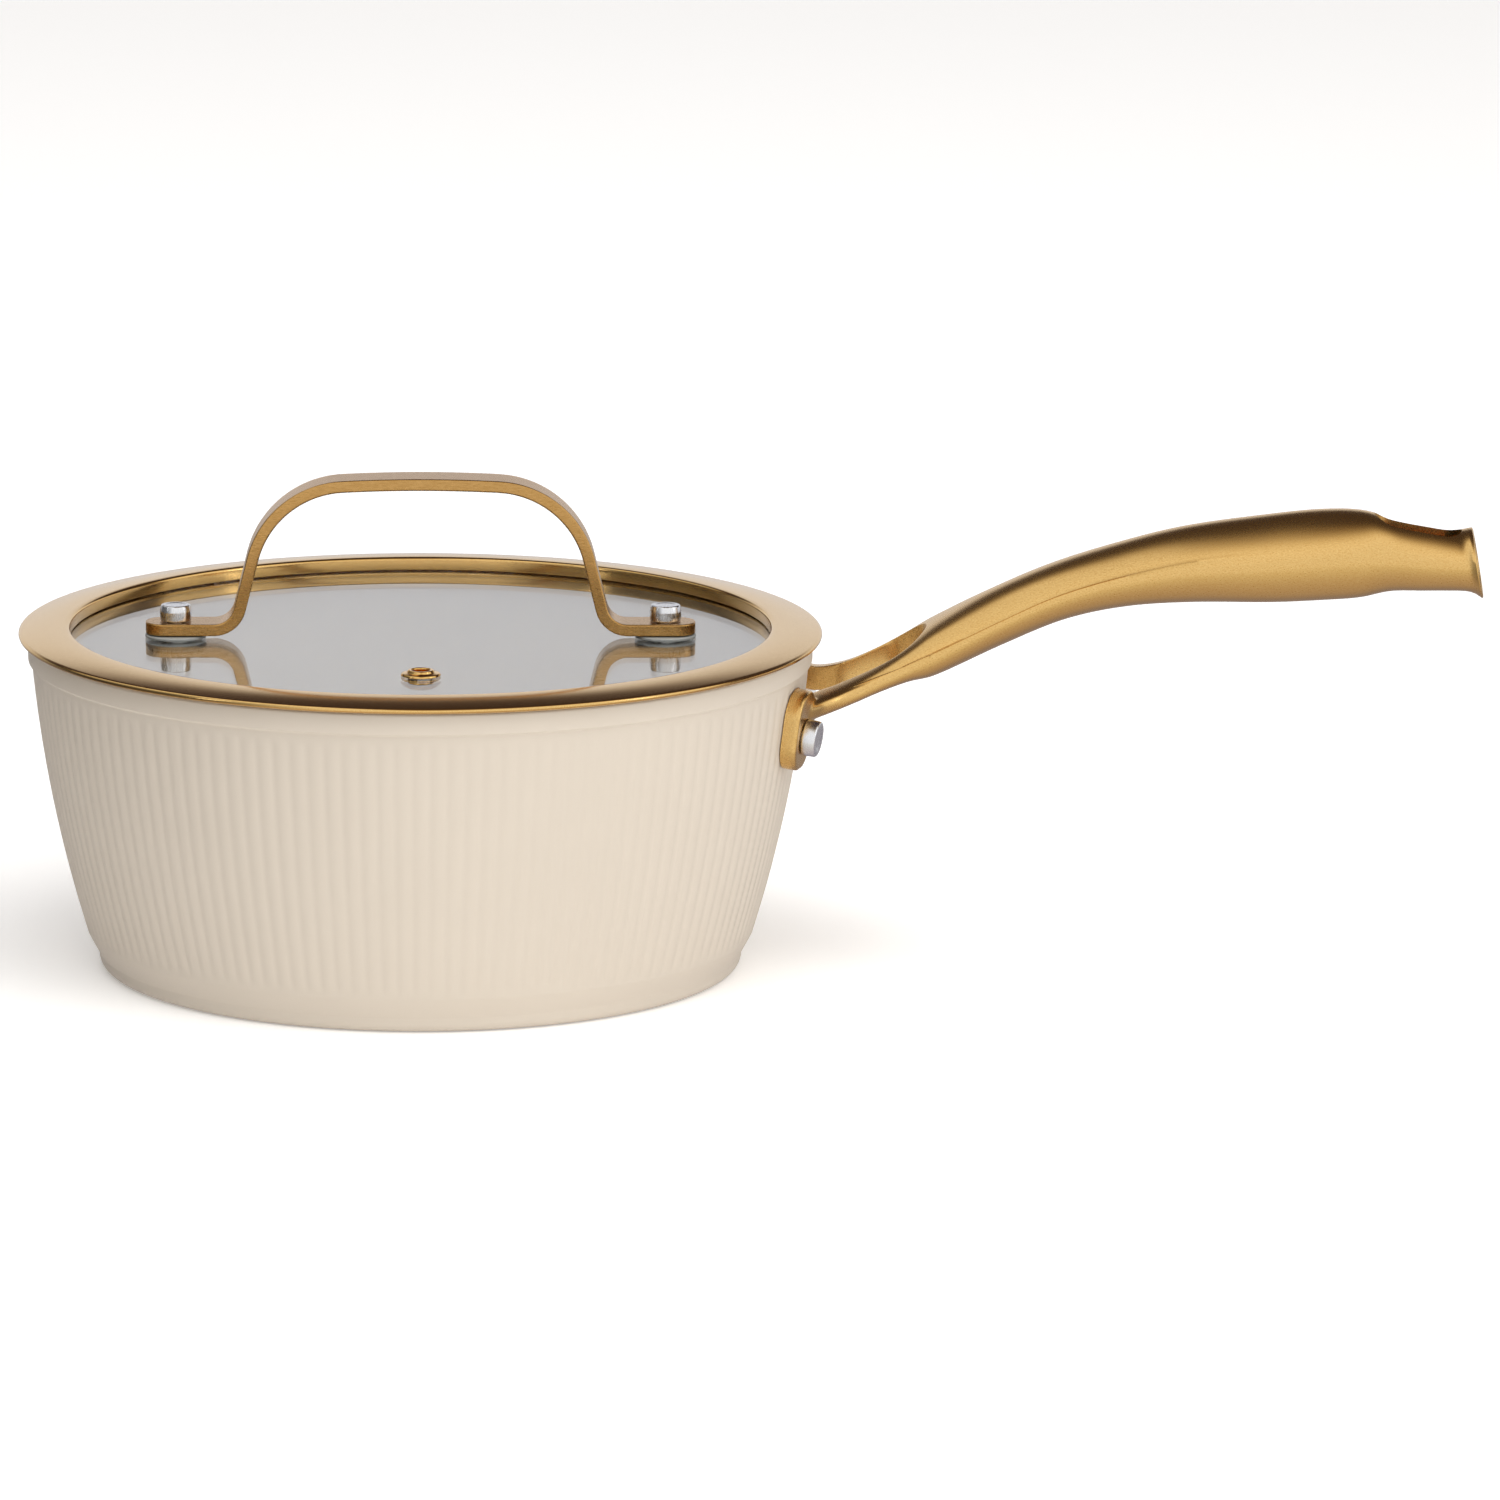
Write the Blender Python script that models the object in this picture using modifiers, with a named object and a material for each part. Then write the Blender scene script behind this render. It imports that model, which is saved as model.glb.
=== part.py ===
"""Saucepan with a ribbed body, a hollow cast handle and a flat glass lid.

Metres, +Z up. The origin is the centre of the base, on the hob. The long handle points along +X.
"""

import math

import bmesh
import bpy
from mathutils import Matrix, Vector

# Fits shared by every piece
CONTACT_GAP = 0.00025          # between faces that touch
SMALL_SEGMENTS = 24            # round pieces up to 20 mm across
LARGE_SEGMENTS = 72            # pan, lid ring and glass
OVERCUT = 0.004                # how far a cutter runs past what it cuts

# Pan body
PAN_HEIGHT = 0.0868
LIP_RADIUS = 0.1024            # outside of the smooth band under the lip
LIP_BAND_HEIGHT = 0.0055
LIP_BAND_STEP = 0.0011         # how far the band stands out from the wall
WALL_FOOT_RADIUS = 0.0878      # outside of the wall where it turns in to the base
WALL_FOOT_HEIGHT = 0.011
WALL_BULGE = 0.0018            # how far the wall bows out of a straight cone
WALL_THICKNESS = 0.0026
FLOOR_THICKNESS = 0.005
FLOOR_CORNER_RADIUS = 0.009
BASE_STEP_IN = 0.0036          # from the wall's foot in to the base ring
BASE_RING_HEIGHT = 0.0036
BASE_EDGE_RADIUS = 0.003
WALL_STEPS = 7

# Induction plate under the pan
PLATE_RADIUS = 0.070
PLATE_THICKNESS = 0.0008

# Handle: lugs, rivets and fork
LUG_DROP = 0.0190              # lug centre below the pan's rim
LUG_SPACING = 0.0574           # between the lugs' centres
LUG_WIDTH = 0.0160
LUG_HEIGHT = 0.0209
LUG_CORNER_RADIUS = 0.0070
LUG_THICKNESS = 0.0038
RIVET_DROP = 0.0015            # rivet below the lug's centre
RIVET_SHANK_RADIUS = 0.003
RIVET_TAIL_RADIUS = 0.0048
RIVET_TAIL_LENGTH = 0.0036
RIVET_HEAD_RADIUS = 0.007
RIVET_HEAD_HEIGHT = 0.0018

# Handle stations: reach from the wall at the lugs, rise above the lug's centre,
# half height, half width, lean of the section in degrees, and how full its corners are
HANDLE_STATIONS = (
    (-0.0080, 0.0036, 0.0036, 0.0345, 0.0, 0.6),
    (0.0000, 0.0040, 0.0036, 0.0300, 0.0, 0.6),
    (0.0050, 0.0044, 0.0034, 0.0240, 4.0, 0.6),
    (0.0120, 0.0064, 0.0034, 0.0190, 14.0, 0.6),
    (0.0200, 0.0098, 0.0037, 0.0168, 22.0, 0.65),
    (0.0270, 0.0130, 0.0046, 0.0156, 25.0, 0.7),
    (0.0340, 0.0160, 0.0062, 0.0147, 25.5, 0.8),
    (0.0500, 0.0237, 0.0070, 0.0130, 25.5, 1.0),
    (0.0660, 0.0305, 0.0073, 0.0121, 19.0, 1.0),
    (0.0820, 0.0349, 0.0082, 0.0120, 12.0, 1.0),
    (0.1000, 0.0379, 0.0099, 0.0124, 5.0, 1.0),
    (0.1220, 0.0395, 0.0115, 0.0128, 3.0, 1.0),
    (0.1360, 0.0405, 0.0119, 0.0127, 1.0, 1.0),
    (0.1460, 0.0407, 0.0114, 0.0120, -2.0, 1.0),
    (0.1540, 0.0402, 0.0091, 0.0106, -4.0, 1.0),
    (0.1620, 0.0396, 0.0084, 0.0099, -3.0, 1.0),
    (0.1720, 0.0391, 0.0082, 0.0097, 3.0, 1.0),
    (0.1758, 0.0388, 0.0088, 0.0102, 9.0, 1.0),
    (0.1775, 0.0381, 0.0096, 0.0110, 10.5, 1.0),
)
HANDLE_AROUND = 24
HANDLE_BETWEEN = 2             # sections from one station to the next
HANDLE_WALL = 0.0015
HOLLOW_START = 0.048           # reach at which the grip's hollow begins
FORK_ROOT_REACH = 0.0322       # reach of the gap's round end
FORK_GAP_RADIUS = 0.0112
FORK_GAP_MOUTH = 0.0190        # half width where the arms meet the pan
HANG_SLOT_START = 0.1490
HANG_SLOT_END = 0.1720
HANG_SLOT_WIDTH = 0.010

# Lid ring and glass
LID_OVERHANG = 0.0026          # lid's hem beyond the pan's lip
RING_SHEET = 0.0007
RING_WIDTH = 0.0136            # visible width of the flat ring
RING_HEM_THICKNESS = 0.0012
RING_RISE = 0.0010             # crest above the outer hem
RING_CREST_RADIUS = 0.0008
RING_LIP_WIDTH = 0.0046        # fold under the glass
SKIRT_CLEARANCE = 0.0011       # between the ring's skirt and the pan's wall
GLASS_THICKNESS = 0.004
GLASS_DROP = 0.0007            # glass top below the pan's rim

# Lid handle and its pins
STRAP_THICKNESS = 0.0031
STRAP_WIDTH = 0.0114
STRAP_LENGTH = 0.1434
STRAP_RISE = 0.0385            # between the feet and the bridge, on the centre line
STRAP_FOOT_LENGTH = 0.0178
STRAP_SIDE_ANGLE = math.radians(76.0)
STRAP_CROWN_ANGLE = math.radians(3.0)
STRAP_FOOT_BEND = 0.007
STRAP_BRIDGE_BEND = 0.0255
STRAP_END_RADIUS = 0.0050
PIN_SPACING = 0.1277
PIN_SHANK_RADIUS = 0.0025
PIN_TAIL_RADIUS = 0.0039
PIN_TAIL_LENGTH = 0.0041
PIN_HEAD_RADIUS = 0.0048
PIN_HEAD_HEIGHT = 0.0015
WASHER_RADIUS = 0.0080
WASHER_THICKNESS = 0.0008
BUSH_WALL = 0.0009
BUSH_FLANGE_THICKNESS = 0.0012
BACKING_THICKNESS = 0.0008

# Steam vent
VENT_OFFSET = -0.051
VENT_BORE_RADIUS = 0.00235
VENT_BARREL_WALL = 0.0008
VENT_FLANGE_RADIUS = 0.00525
VENT_FLANGE_HEIGHT = 0.0015
VENT_ROLL_WIDTH = 0.0012
VENT_RING_THICKNESS = 0.0008

# Heights and radii that follow from the sizes above
LIP_WALL_RADIUS = LIP_RADIUS - LIP_BAND_STEP
WALL_TOP_HEIGHT = PAN_HEIGHT - LIP_BAND_HEIGHT - LIP_BAND_STEP
RING_SEAT_HEIGHT = PAN_HEIGHT + CONTACT_GAP
GLASS_TOP = PAN_HEIGHT - GLASS_DROP
GLASS_BOTTOM = GLASS_TOP - GLASS_THICKNESS
LID_RADIUS = LIP_RADIUS + LID_OVERHANG
RING_INNER_RADIUS = LID_RADIUS - RING_WIDTH
LUG_CENTRE_HEIGHT = PAN_HEIGHT - LUG_DROP
RIVET_HEIGHT = LUG_CENTRE_HEIGHT - RIVET_DROP
STRAP_BOTTOM = GLASS_TOP + WASHER_THICKNESS + 2 * CONTACT_GAP
STRAP_TOP_AT_FOOT = STRAP_BOTTOM + STRAP_THICKNESS
VENT_BARREL_RADIUS = VENT_BORE_RADIUS + VENT_BARREL_WALL
PIN_BUSH_BORE = PIN_SHANK_RADIUS + CONTACT_GAP
PIN_BUSH_RADIUS = PIN_BUSH_BORE + BUSH_WALL
GLASS_PIN_HOLE = PIN_BUSH_RADIUS + CONTACT_GAP
GLASS_VENT_HOLE = VENT_BARREL_RADIUS + CONTACT_GAP


def arc(centre, radius, start, end, steps):
    """Points on an arc in a plane, angles in radians."""
    span = end - start
    return [
        (
            centre[0] + radius * math.cos(start + span * i / steps),
            centre[1] + radius * math.sin(start + span * i / steps),
        )
        for i in range(steps + 1)
    ]


def wall_radius(height):
    """Outside radius of the pan's wall at a height: a cone that bows out a little."""
    share = (height - WALL_FOOT_HEIGHT) / (WALL_TOP_HEIGHT - WALL_FOOT_HEIGHT)
    cone = WALL_FOOT_RADIUS + (LIP_WALL_RADIUS - WALL_FOOT_RADIUS) * share
    return cone + WALL_BULGE * 4 * share * (1 - share)


def lug_turn(side):
    """The turn about the pan's axis that brings a lug to its side of the handle."""
    angle = math.asin(LUG_SPACING / 2 / wall_radius(LUG_CENTRE_HEIGHT))
    return Matrix.Rotation(side * angle, 4, "Z")


def wall_lean(height):
    """Angle by which the wall's normal points down at a height."""
    step = 0.001
    return math.atan((wall_radius(height + step) - wall_radius(height - step)) / (2 * step))


def make_material(name, colour, roughness, metallic=0.0, transmission=0.0):
    material = bpy.data.materials.new(name)
    material.use_nodes = True
    shader = material.node_tree.nodes["Principled BSDF"]
    shader.inputs["Base Color"].default_value = (*colour, 1.0)
    shader.inputs["Roughness"].default_value = roughness
    shader.inputs["Metallic"].default_value = metallic
    shader.inputs["Transmission Weight"].default_value = transmission
    material.diffuse_color = (*colour, 1.0)
    return material


def add_object(name, mesh, collection, material=None):
    item = bpy.data.objects.new(name, mesh)
    collection.objects.link(item)
    if material:
        mesh.materials.append(material)
    else:
        item.hide_render = True
        item.display_type = "WIRE"
    return item


def turned(name, profile, collection, material=None, segments=SMALL_SEGMENTS, closed=True):
    """A turned piece about its own Z. The profile runs down its outer side; a solid one ends on the axis."""
    mesh = bpy.data.meshes.new(name)
    count = len(profile)
    edges = [(i, i + 1) for i in range(count - 1)]
    if closed:
        edges.append((count - 1, 0))
    mesh.from_pydata([(radius, 0.0, height) for radius, height in profile], edges, [])
    item = add_object(name, mesh, collection, material)
    screw = item.modifiers.new("turn", "SCREW")
    screw.axis = "Z"
    screw.steps = screw.render_steps = segments
    screw.use_merge_vertices = True
    screw.merge_threshold = 0.00001
    screw.use_smooth_shade = False
    return item


def prism(name, outline, depth, collection, matrix, material=None):
    """A flat outline extruded by half its depth to each side of its plane."""
    curve = bpy.data.curves.new(name, "CURVE")
    curve.dimensions = "2D"
    curve.fill_mode = "BOTH"
    curve.extrude = depth / 2
    spline = curve.splines.new("POLY")
    spline.points.add(len(outline) - 1)
    for point, (x, y) in zip(spline.points, outline):
        point.co = (x, y, 0.0, 1.0)
    spline.use_cyclic_u = True
    guide = bpy.data.objects.new(name + "_outline", curve)
    collection.objects.link(guide)
    bpy.context.view_layer.update()
    graph = bpy.context.evaluated_depsgraph_get()
    mesh = bpy.data.meshes.new_from_object(guide.evaluated_get(graph))
    bpy.data.objects.remove(guide)
    shape = bmesh.new()
    shape.from_mesh(mesh)
    bmesh.ops.remove_doubles(shape, verts=shape.verts, dist=0.000001)
    bmesh.ops.recalc_face_normals(shape, faces=shape.faces)
    shape.to_mesh(mesh)
    shape.free()
    mesh.materials.clear()
    item = add_object(name, mesh, collection, material)
    item.matrix_world = matrix
    return item


def cylinder(name, radius, length, collection, matrix):
    """A cutter about the matrix's Z, centred on its origin."""
    mesh = bpy.data.meshes.new(name)
    shape = bmesh.new()
    bmesh.ops.create_cone(
        shape, cap_ends=True, segments=SMALL_SEGMENTS, radius1=radius, radius2=radius, depth=length
    )
    shape.to_mesh(mesh)
    shape.free()
    item = add_object(name, mesh, collection)
    item.matrix_world = matrix
    return item


def boolean(item, operation, other):
    modifier = item.modifiers.new(operation.lower() + "_" + other.name, "BOOLEAN")
    modifier.operation = operation
    modifier.solver = "EXACT"
    modifier.object = other


def rounded_rectangle(width, height, radius, steps=6):
    x, y = width / 2 - radius, height / 2 - radius
    points = []
    for i, (cx, cy) in enumerate(((x, y), (-x, y), (-x, -y), (x, -y))):
        points += arc((cx, cy), radius, i * math.pi / 2, (i + 1) * math.pi / 2, steps)
    return points


def rivet_frame(side):
    """Where a handle rivet sits: its Z points out of the wall. side is -1 in front, 1 behind."""
    out = Matrix.Rotation(math.pi / 2 + wall_lean(RIVET_HEIGHT), 4, "Y")
    return lug_turn(side) @ Matrix.Translation((wall_radius(RIVET_HEIGHT), 0.0, RIVET_HEIGHT)) @ out


def outer_profile():
    """The pan's outside from the lip down to the base, as (radius, height)."""
    edge = 0.0006
    foot_drop = WALL_FOOT_HEIGHT - BASE_RING_HEIGHT
    ring_radius = WALL_FOOT_RADIUS - BASE_STEP_IN
    points = [(LIP_RADIUS - edge, PAN_HEIGHT), (LIP_RADIUS, PAN_HEIGHT - edge)]
    points.append((LIP_RADIUS - 0.0001, PAN_HEIGHT - LIP_BAND_HEIGHT))
    for i in range(WALL_STEPS + 1):
        height = WALL_TOP_HEIGHT + (WALL_FOOT_HEIGHT - WALL_TOP_HEIGHT) * i / WALL_STEPS
        points.append((wall_radius(height), height))
    points.append((WALL_FOOT_RADIUS - 0.25 * BASE_STEP_IN, WALL_FOOT_HEIGHT - 0.3 * foot_drop))
    points.append((ring_radius, BASE_RING_HEIGHT))
    fillet = arc((ring_radius - 1.15 * BASE_EDGE_RADIUS, BASE_EDGE_RADIUS), BASE_EDGE_RADIUS,
                 0.0, -math.pi / 2, 3)
    return points + fillet


def make_pan_body(parts, cutters, material):
    floor_corner = wall_radius(FLOOR_THICKNESS + FLOOR_CORNER_RADIUS) - WALL_THICKNESS
    corner = (floor_corner - FLOOR_CORNER_RADIUS, FLOOR_THICKNESS + FLOOR_CORNER_RADIUS)
    inside = [(0.0, FLOOR_THICKNESS)]
    inside += arc(corner, FLOOR_CORNER_RADIUS, -math.pi / 2, 0.0, 4)
    for i in range(1, WALL_STEPS + 1):
        height = corner[1] + (WALL_TOP_HEIGHT - corner[1]) * i / WALL_STEPS
        inside.append((wall_radius(height) - WALL_THICKNESS, height))
    inside.append((inside[-1][0], PAN_HEIGHT))
    recess = PLATE_THICKNESS + CONTACT_GAP
    recess_radius = PLATE_RADIUS + CONTACT_GAP
    under = [(recess_radius, 0.0), (recess_radius, recess), (0.0, recess)]
    body = turned("pan_body", inside + outer_profile() + under, parts, material,
                  LARGE_SEGMENTS, closed=False)
    for side, place in ((-1, "front"), (1, "rear")):
        hole = cylinder("wall_hole_" + place, RIVET_SHANK_RADIUS + CONTACT_GAP, 4 * OVERCUT,
                        cutters, rivet_frame(side))
        boolean(body, "DIFFERENCE", hole)


def make_induction_plate(parts, material):
    profile = [(0.0, PLATE_THICKNESS), (PLATE_RADIUS, PLATE_THICKNESS), (PLATE_RADIUS, 0.0), (0.0, 0.0)]
    turned("induction_plate", profile, parts, material, LARGE_SEGMENTS, closed=False)


def smooth_between(stations, share):
    """Values at a share of the way along the stations, on a curve through all of them."""
    place = share * (len(stations) - 1)
    i = min(int(place), len(stations) - 2)
    t = place - i
    before, a = stations[max(i - 1, 0)], stations[i]
    b, after = stations[i + 1], stations[min(i + 2, len(stations) - 1)]
    return [
        0.5 * (2 * q + (r - p) * t + (2 * p - 5 * q + 4 * r - s) * t * t + (3 * q - p - 3 * r + s) * t**3)
        for p, q, r, s in zip(before, a, b, after)
    ]


def handle_ring(shape, values, root_radius, inset):
    """One oval section of the handle, inset by a wall for the hollow."""
    reach, rise, half_height, half_width, lean, fullness = values
    lean = math.radians(lean)
    centre = Vector((root_radius + reach, 0.0, LUG_CENTRE_HEIGHT + rise))
    up = Vector((-math.sin(lean), 0.0, math.cos(lean)))
    ring = []
    for i in range(HANDLE_AROUND):
        angle = 2 * math.pi * i / HANDLE_AROUND
        side = math.copysign(abs(math.cos(angle)) ** fullness, math.cos(angle))
        rise = math.copysign(abs(math.sin(angle)) ** fullness, math.sin(angle))
        across = Vector((0.0, (half_width - inset) * side, 0.0))
        ring.append(shape.verts.new(centre + across + up * (half_height - inset) * rise))
    return ring


def join_rings(shape, rings):
    for ring, following in zip(rings, rings[1:]):
        for i in range(HANDLE_AROUND):
            j = (i + 1) % HANDLE_AROUND
            shape.faces.new((ring[i], ring[j], following[j], following[i]))


def make_handle_loft(parts, material, root_radius):
    """The handle's oval skin from the pan to its open end, and the blind hollow inside the grip."""
    shape = bmesh.new()
    count = (len(HANDLE_STATIONS) - 1) * HANDLE_BETWEEN
    sections = [smooth_between(HANDLE_STATIONS, i / count) for i in range(count + 1)]
    outside = [handle_ring(shape, values, root_radius, 0.0) for values in sections]
    hollow = [values for values in sections if values[0] > HOLLOW_START]
    inside = [handle_ring(shape, values, root_radius, HANDLE_WALL) for values in reversed(hollow)]
    inside.append(handle_ring(shape, hollow[0], root_radius, 0.6 * hollow[0][2]))
    for vertex in inside[-1]:
        vertex.co -= Vector((HANDLE_WALL, 0.0, HANDLE_WALL / 2))
    join_rings(shape, outside + inside)
    shape.faces.new(outside[0])
    shape.faces.new(inside[-1])
    bmesh.ops.recalc_face_normals(shape, faces=shape.faces)
    mesh = bpy.data.meshes.new("pan_handle")
    shape.to_mesh(mesh)
    shape.free()
    return add_object("pan_handle", mesh, parts, material)


def wall_band(name, inner_offset, outer_offset, cutters, solid):
    """A turned helper that follows the pan's wall around the lugs."""
    low = LUG_CENTRE_HEIGHT - LUG_HEIGHT
    high = min(LUG_CENTRE_HEIGHT + LUG_HEIGHT, WALL_TOP_HEIGHT)
    steps = 6
    heights = [high + (low - high) * i / steps for i in range(steps + 1)]
    outside = [(wall_radius(height) + outer_offset, height) for height in heights]
    if solid:
        top = PAN_HEIGHT + LUG_HEIGHT
        lip = (LIP_RADIUS + outer_offset, top), (LIP_RADIUS + outer_offset, high + LIP_BAND_STEP)
        profile = [(0.0, top), *lip, *outside, (0.0, low)]
        return turned(name, profile, cutters, None, 2 * LARGE_SEGMENTS, closed=False)
    inside = [(wall_radius(height) + inner_offset, height) for height in reversed(heights)]
    return turned(name, outside + inside, cutters, None, 2 * LARGE_SEGMENTS)


def make_lug(place, side, band, cutters):
    """One lug: a rounded plate that follows the pan's wall."""
    face = Matrix(((0, 0, 1, 0), (1, 0, 0, 0), (0, 1, 0, 0), (0, 0, 0, 1)))
    place_on_wall = Matrix.Translation((wall_radius(LUG_CENTRE_HEIGHT), 0.0, LUG_CENTRE_HEIGHT))
    matrix = lug_turn(side) @ place_on_wall @ face
    outline = rounded_rectangle(LUG_WIDTH, LUG_HEIGHT, LUG_CORNER_RADIUS)
    lug = prism("lug_" + place, outline, 6 * OVERCUT, cutters, matrix)
    boolean(lug, "INTERSECT", band)
    return lug


def fork_gap_outline(root_radius):
    """The gap between the fork's arms, seen from above."""
    centre = root_radius + FORK_ROOT_REACH - FORK_GAP_RADIUS
    near_arms = root_radius + 0.010
    outline = arc((centre, 0.0), FORK_GAP_RADIUS, -math.pi / 2, math.pi / 2, 10)
    side = [
        (near_arms, FORK_GAP_RADIUS + 0.0006),
        (near_arms - 0.006, FORK_GAP_RADIUS + 0.0030),
        (near_arms - 0.010, FORK_GAP_MOUTH),
        (root_radius - 4 * OVERCUT, FORK_GAP_MOUTH),
    ]
    return outline + side + [(x, -y) for x, y in reversed(side)]


def make_pan_handle(parts, cutters, material):
    root_radius = wall_radius(LUG_CENTRE_HEIGHT)
    handle = make_handle_loft(parts, material, root_radius)
    gap = prism("fork_gap", fork_gap_outline(root_radius), 20 * OVERCUT, cutters,
                Matrix.Translation((0.0, 0.0, LUG_CENTRE_HEIGHT)))
    boolean(handle, "DIFFERENCE", gap)
    band = wall_band("lug_band", -OVERCUT, CONTACT_GAP + LUG_THICKNESS, cutters, solid=False)
    for side, place in ((-1, "front"), (1, "rear")):
        boolean(handle, "UNION", make_lug(place, side, band, cutters))
    keep_out = wall_band("wall_keep_out", 0.0, CONTACT_GAP, cutters, solid=True)
    boolean(handle, "DIFFERENCE", keep_out)
    face = CONTACT_GAP + LUG_THICKNESS
    spot_depth = 2 * RIVET_TAIL_LENGTH
    for side, place in ((-1, "front"), (1, "rear")):
        hole = cylinder("lug_hole_" + place, RIVET_SHANK_RADIUS + CONTACT_GAP, 4 * OVERCUT,
                        cutters, rivet_frame(side))
        boolean(handle, "DIFFERENCE", hole)
        # the arm is spot-faced round the rivet's tail
        spot = cylinder("rivet_spot_" + place, RIVET_TAIL_RADIUS + 2 * CONTACT_GAP, spot_depth, cutters,
                        rivet_frame(side) @ Matrix.Translation((0.0, 0.0, face + spot_depth / 2)))
        boolean(handle, "DIFFERENCE", spot)
    slot_length = HANG_SLOT_END - HANG_SLOT_START
    slot_height = LUG_CENTRE_HEIGHT + HANDLE_STATIONS[-1][1]
    slot_place = (root_radius + (HANG_SLOT_START + HANG_SLOT_END) / 2, 0.0, slot_height + 3 * OVERCUT)
    outline = rounded_rectangle(slot_length, HANG_SLOT_WIDTH, 0.48 * HANG_SLOT_WIDTH)
    slot = prism("hang_slot", outline, 6 * OVERCUT, cutters, Matrix.Translation(slot_place))
    boolean(handle, "DIFFERENCE", slot)


def make_handle_rivets(parts, material):
    """A rivet has a flat head inside the pan and a pressed tail outside the lug."""
    seat = CONTACT_GAP + LUG_THICKNESS + CONTACT_GAP
    inner = -WALL_THICKNESS - 2 * CONTACT_GAP
    tail_edge = 0.0005
    profile = [
        (0.0, seat + RIVET_TAIL_LENGTH),
        (RIVET_TAIL_RADIUS - 2 * tail_edge, seat + RIVET_TAIL_LENGTH),
        (RIVET_TAIL_RADIUS - tail_edge, seat + RIVET_TAIL_LENGTH - tail_edge),
        (RIVET_TAIL_RADIUS, seat + tail_edge),
        (RIVET_TAIL_RADIUS, seat),
        (RIVET_SHANK_RADIUS, seat),
        (RIVET_SHANK_RADIUS, inner),
        (RIVET_HEAD_RADIUS, inner),
        (RIVET_HEAD_RADIUS, inner - 0.4 * RIVET_HEAD_HEIGHT),
        (0.75 * RIVET_HEAD_RADIUS, inner - RIVET_HEAD_HEIGHT),
        (0.0, inner - RIVET_HEAD_HEIGHT),
    ]
    for side, place in ((-1, "front"), (1, "rear")):
        rivet = turned("handle_rivet_" + place, profile, parts, material, closed=False)
        rivet.matrix_world = rivet_frame(side)


def make_lid_ring(parts, material):
    """The gold ring: a flat hem over the pan's lip, a skirt inside it, and a channel round the glass."""
    skirt = wall_radius(WALL_TOP_HEIGHT) - WALL_THICKNESS - SKIRT_CLEARANCE
    channel = skirt - RING_SHEET
    hem_top = RING_SEAT_HEIGHT + RING_HEM_THICKNESS
    crest = hem_top + RING_RISE
    wall_foot = GLASS_TOP + CONTACT_GAP
    lip_top = GLASS_BOTTOM - CONTACT_GAP
    lip_bottom = lip_top - RING_SHEET
    inner = RING_INNER_RADIUS
    hem_edge = 0.45 * RING_HEM_THICKNESS
    outside = [
        (inner + 2 * RING_CREST_RADIUS, crest),
        (skirt, crest - 0.35 * RING_RISE),
        (LID_RADIUS - hem_edge, hem_top),
        (LID_RADIUS, hem_top - hem_edge),
        (LID_RADIUS, RING_SEAT_HEIGHT + 0.7 * hem_edge),
        (LID_RADIUS - hem_edge, RING_SEAT_HEIGHT),
        (skirt, RING_SEAT_HEIGHT),
        (skirt, lip_bottom + RING_SHEET / 2),
        (skirt - RING_SHEET / 2, lip_bottom),
        (skirt - RING_LIP_WIDTH, lip_bottom),
        (skirt - RING_LIP_WIDTH, lip_top),
        (channel, lip_top),
        (channel, crest - 0.35 * RING_RISE - RING_SHEET),
        (inner + RING_SHEET + RING_CREST_RADIUS, crest - RING_SHEET),
        (inner + RING_SHEET, crest - RING_SHEET - 0.5 * RING_CREST_RADIUS),
        (inner + RING_SHEET, wall_foot),
        (inner, wall_foot),
        (inner, crest - RING_CREST_RADIUS),
        (inner + 0.4 * RING_CREST_RADIUS, crest - 0.3 * RING_CREST_RADIUS),
    ]
    turned("lid_ring", outside, parts, material, LARGE_SEGMENTS)


def make_lid_glass(parts, cutters, material):
    skirt = wall_radius(WALL_TOP_HEIGHT) - WALL_THICKNESS - SKIRT_CLEARANCE
    radius = skirt - RING_SHEET - CONTACT_GAP
    edge = 0.0005
    profile = [
        (0.0, GLASS_TOP), (radius - edge, GLASS_TOP), (radius, GLASS_TOP - edge),
        (radius, GLASS_BOTTOM + edge), (radius - edge, GLASS_BOTTOM), (0.0, GLASS_BOTTOM),
    ]
    glass = turned("lid_glass", profile, parts, material, LARGE_SEGMENTS, closed=False)
    middle = (GLASS_TOP + GLASS_BOTTOM) / 2
    length = GLASS_THICKNESS + 2 * OVERCUT
    holes = (
        ("glass_hole_left", -PIN_SPACING / 2, 0.0, GLASS_PIN_HOLE),
        ("glass_hole_right", PIN_SPACING / 2, 0.0, GLASS_PIN_HOLE),
        ("glass_hole_vent", 0.0, VENT_OFFSET, GLASS_VENT_HOLE),
    )
    for name, x, y, hole_radius in holes:
        hole = cylinder(name, hole_radius, length, cutters, Matrix.Translation((x, y, middle)))
        boolean(glass, "DIFFERENCE", hole)


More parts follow.
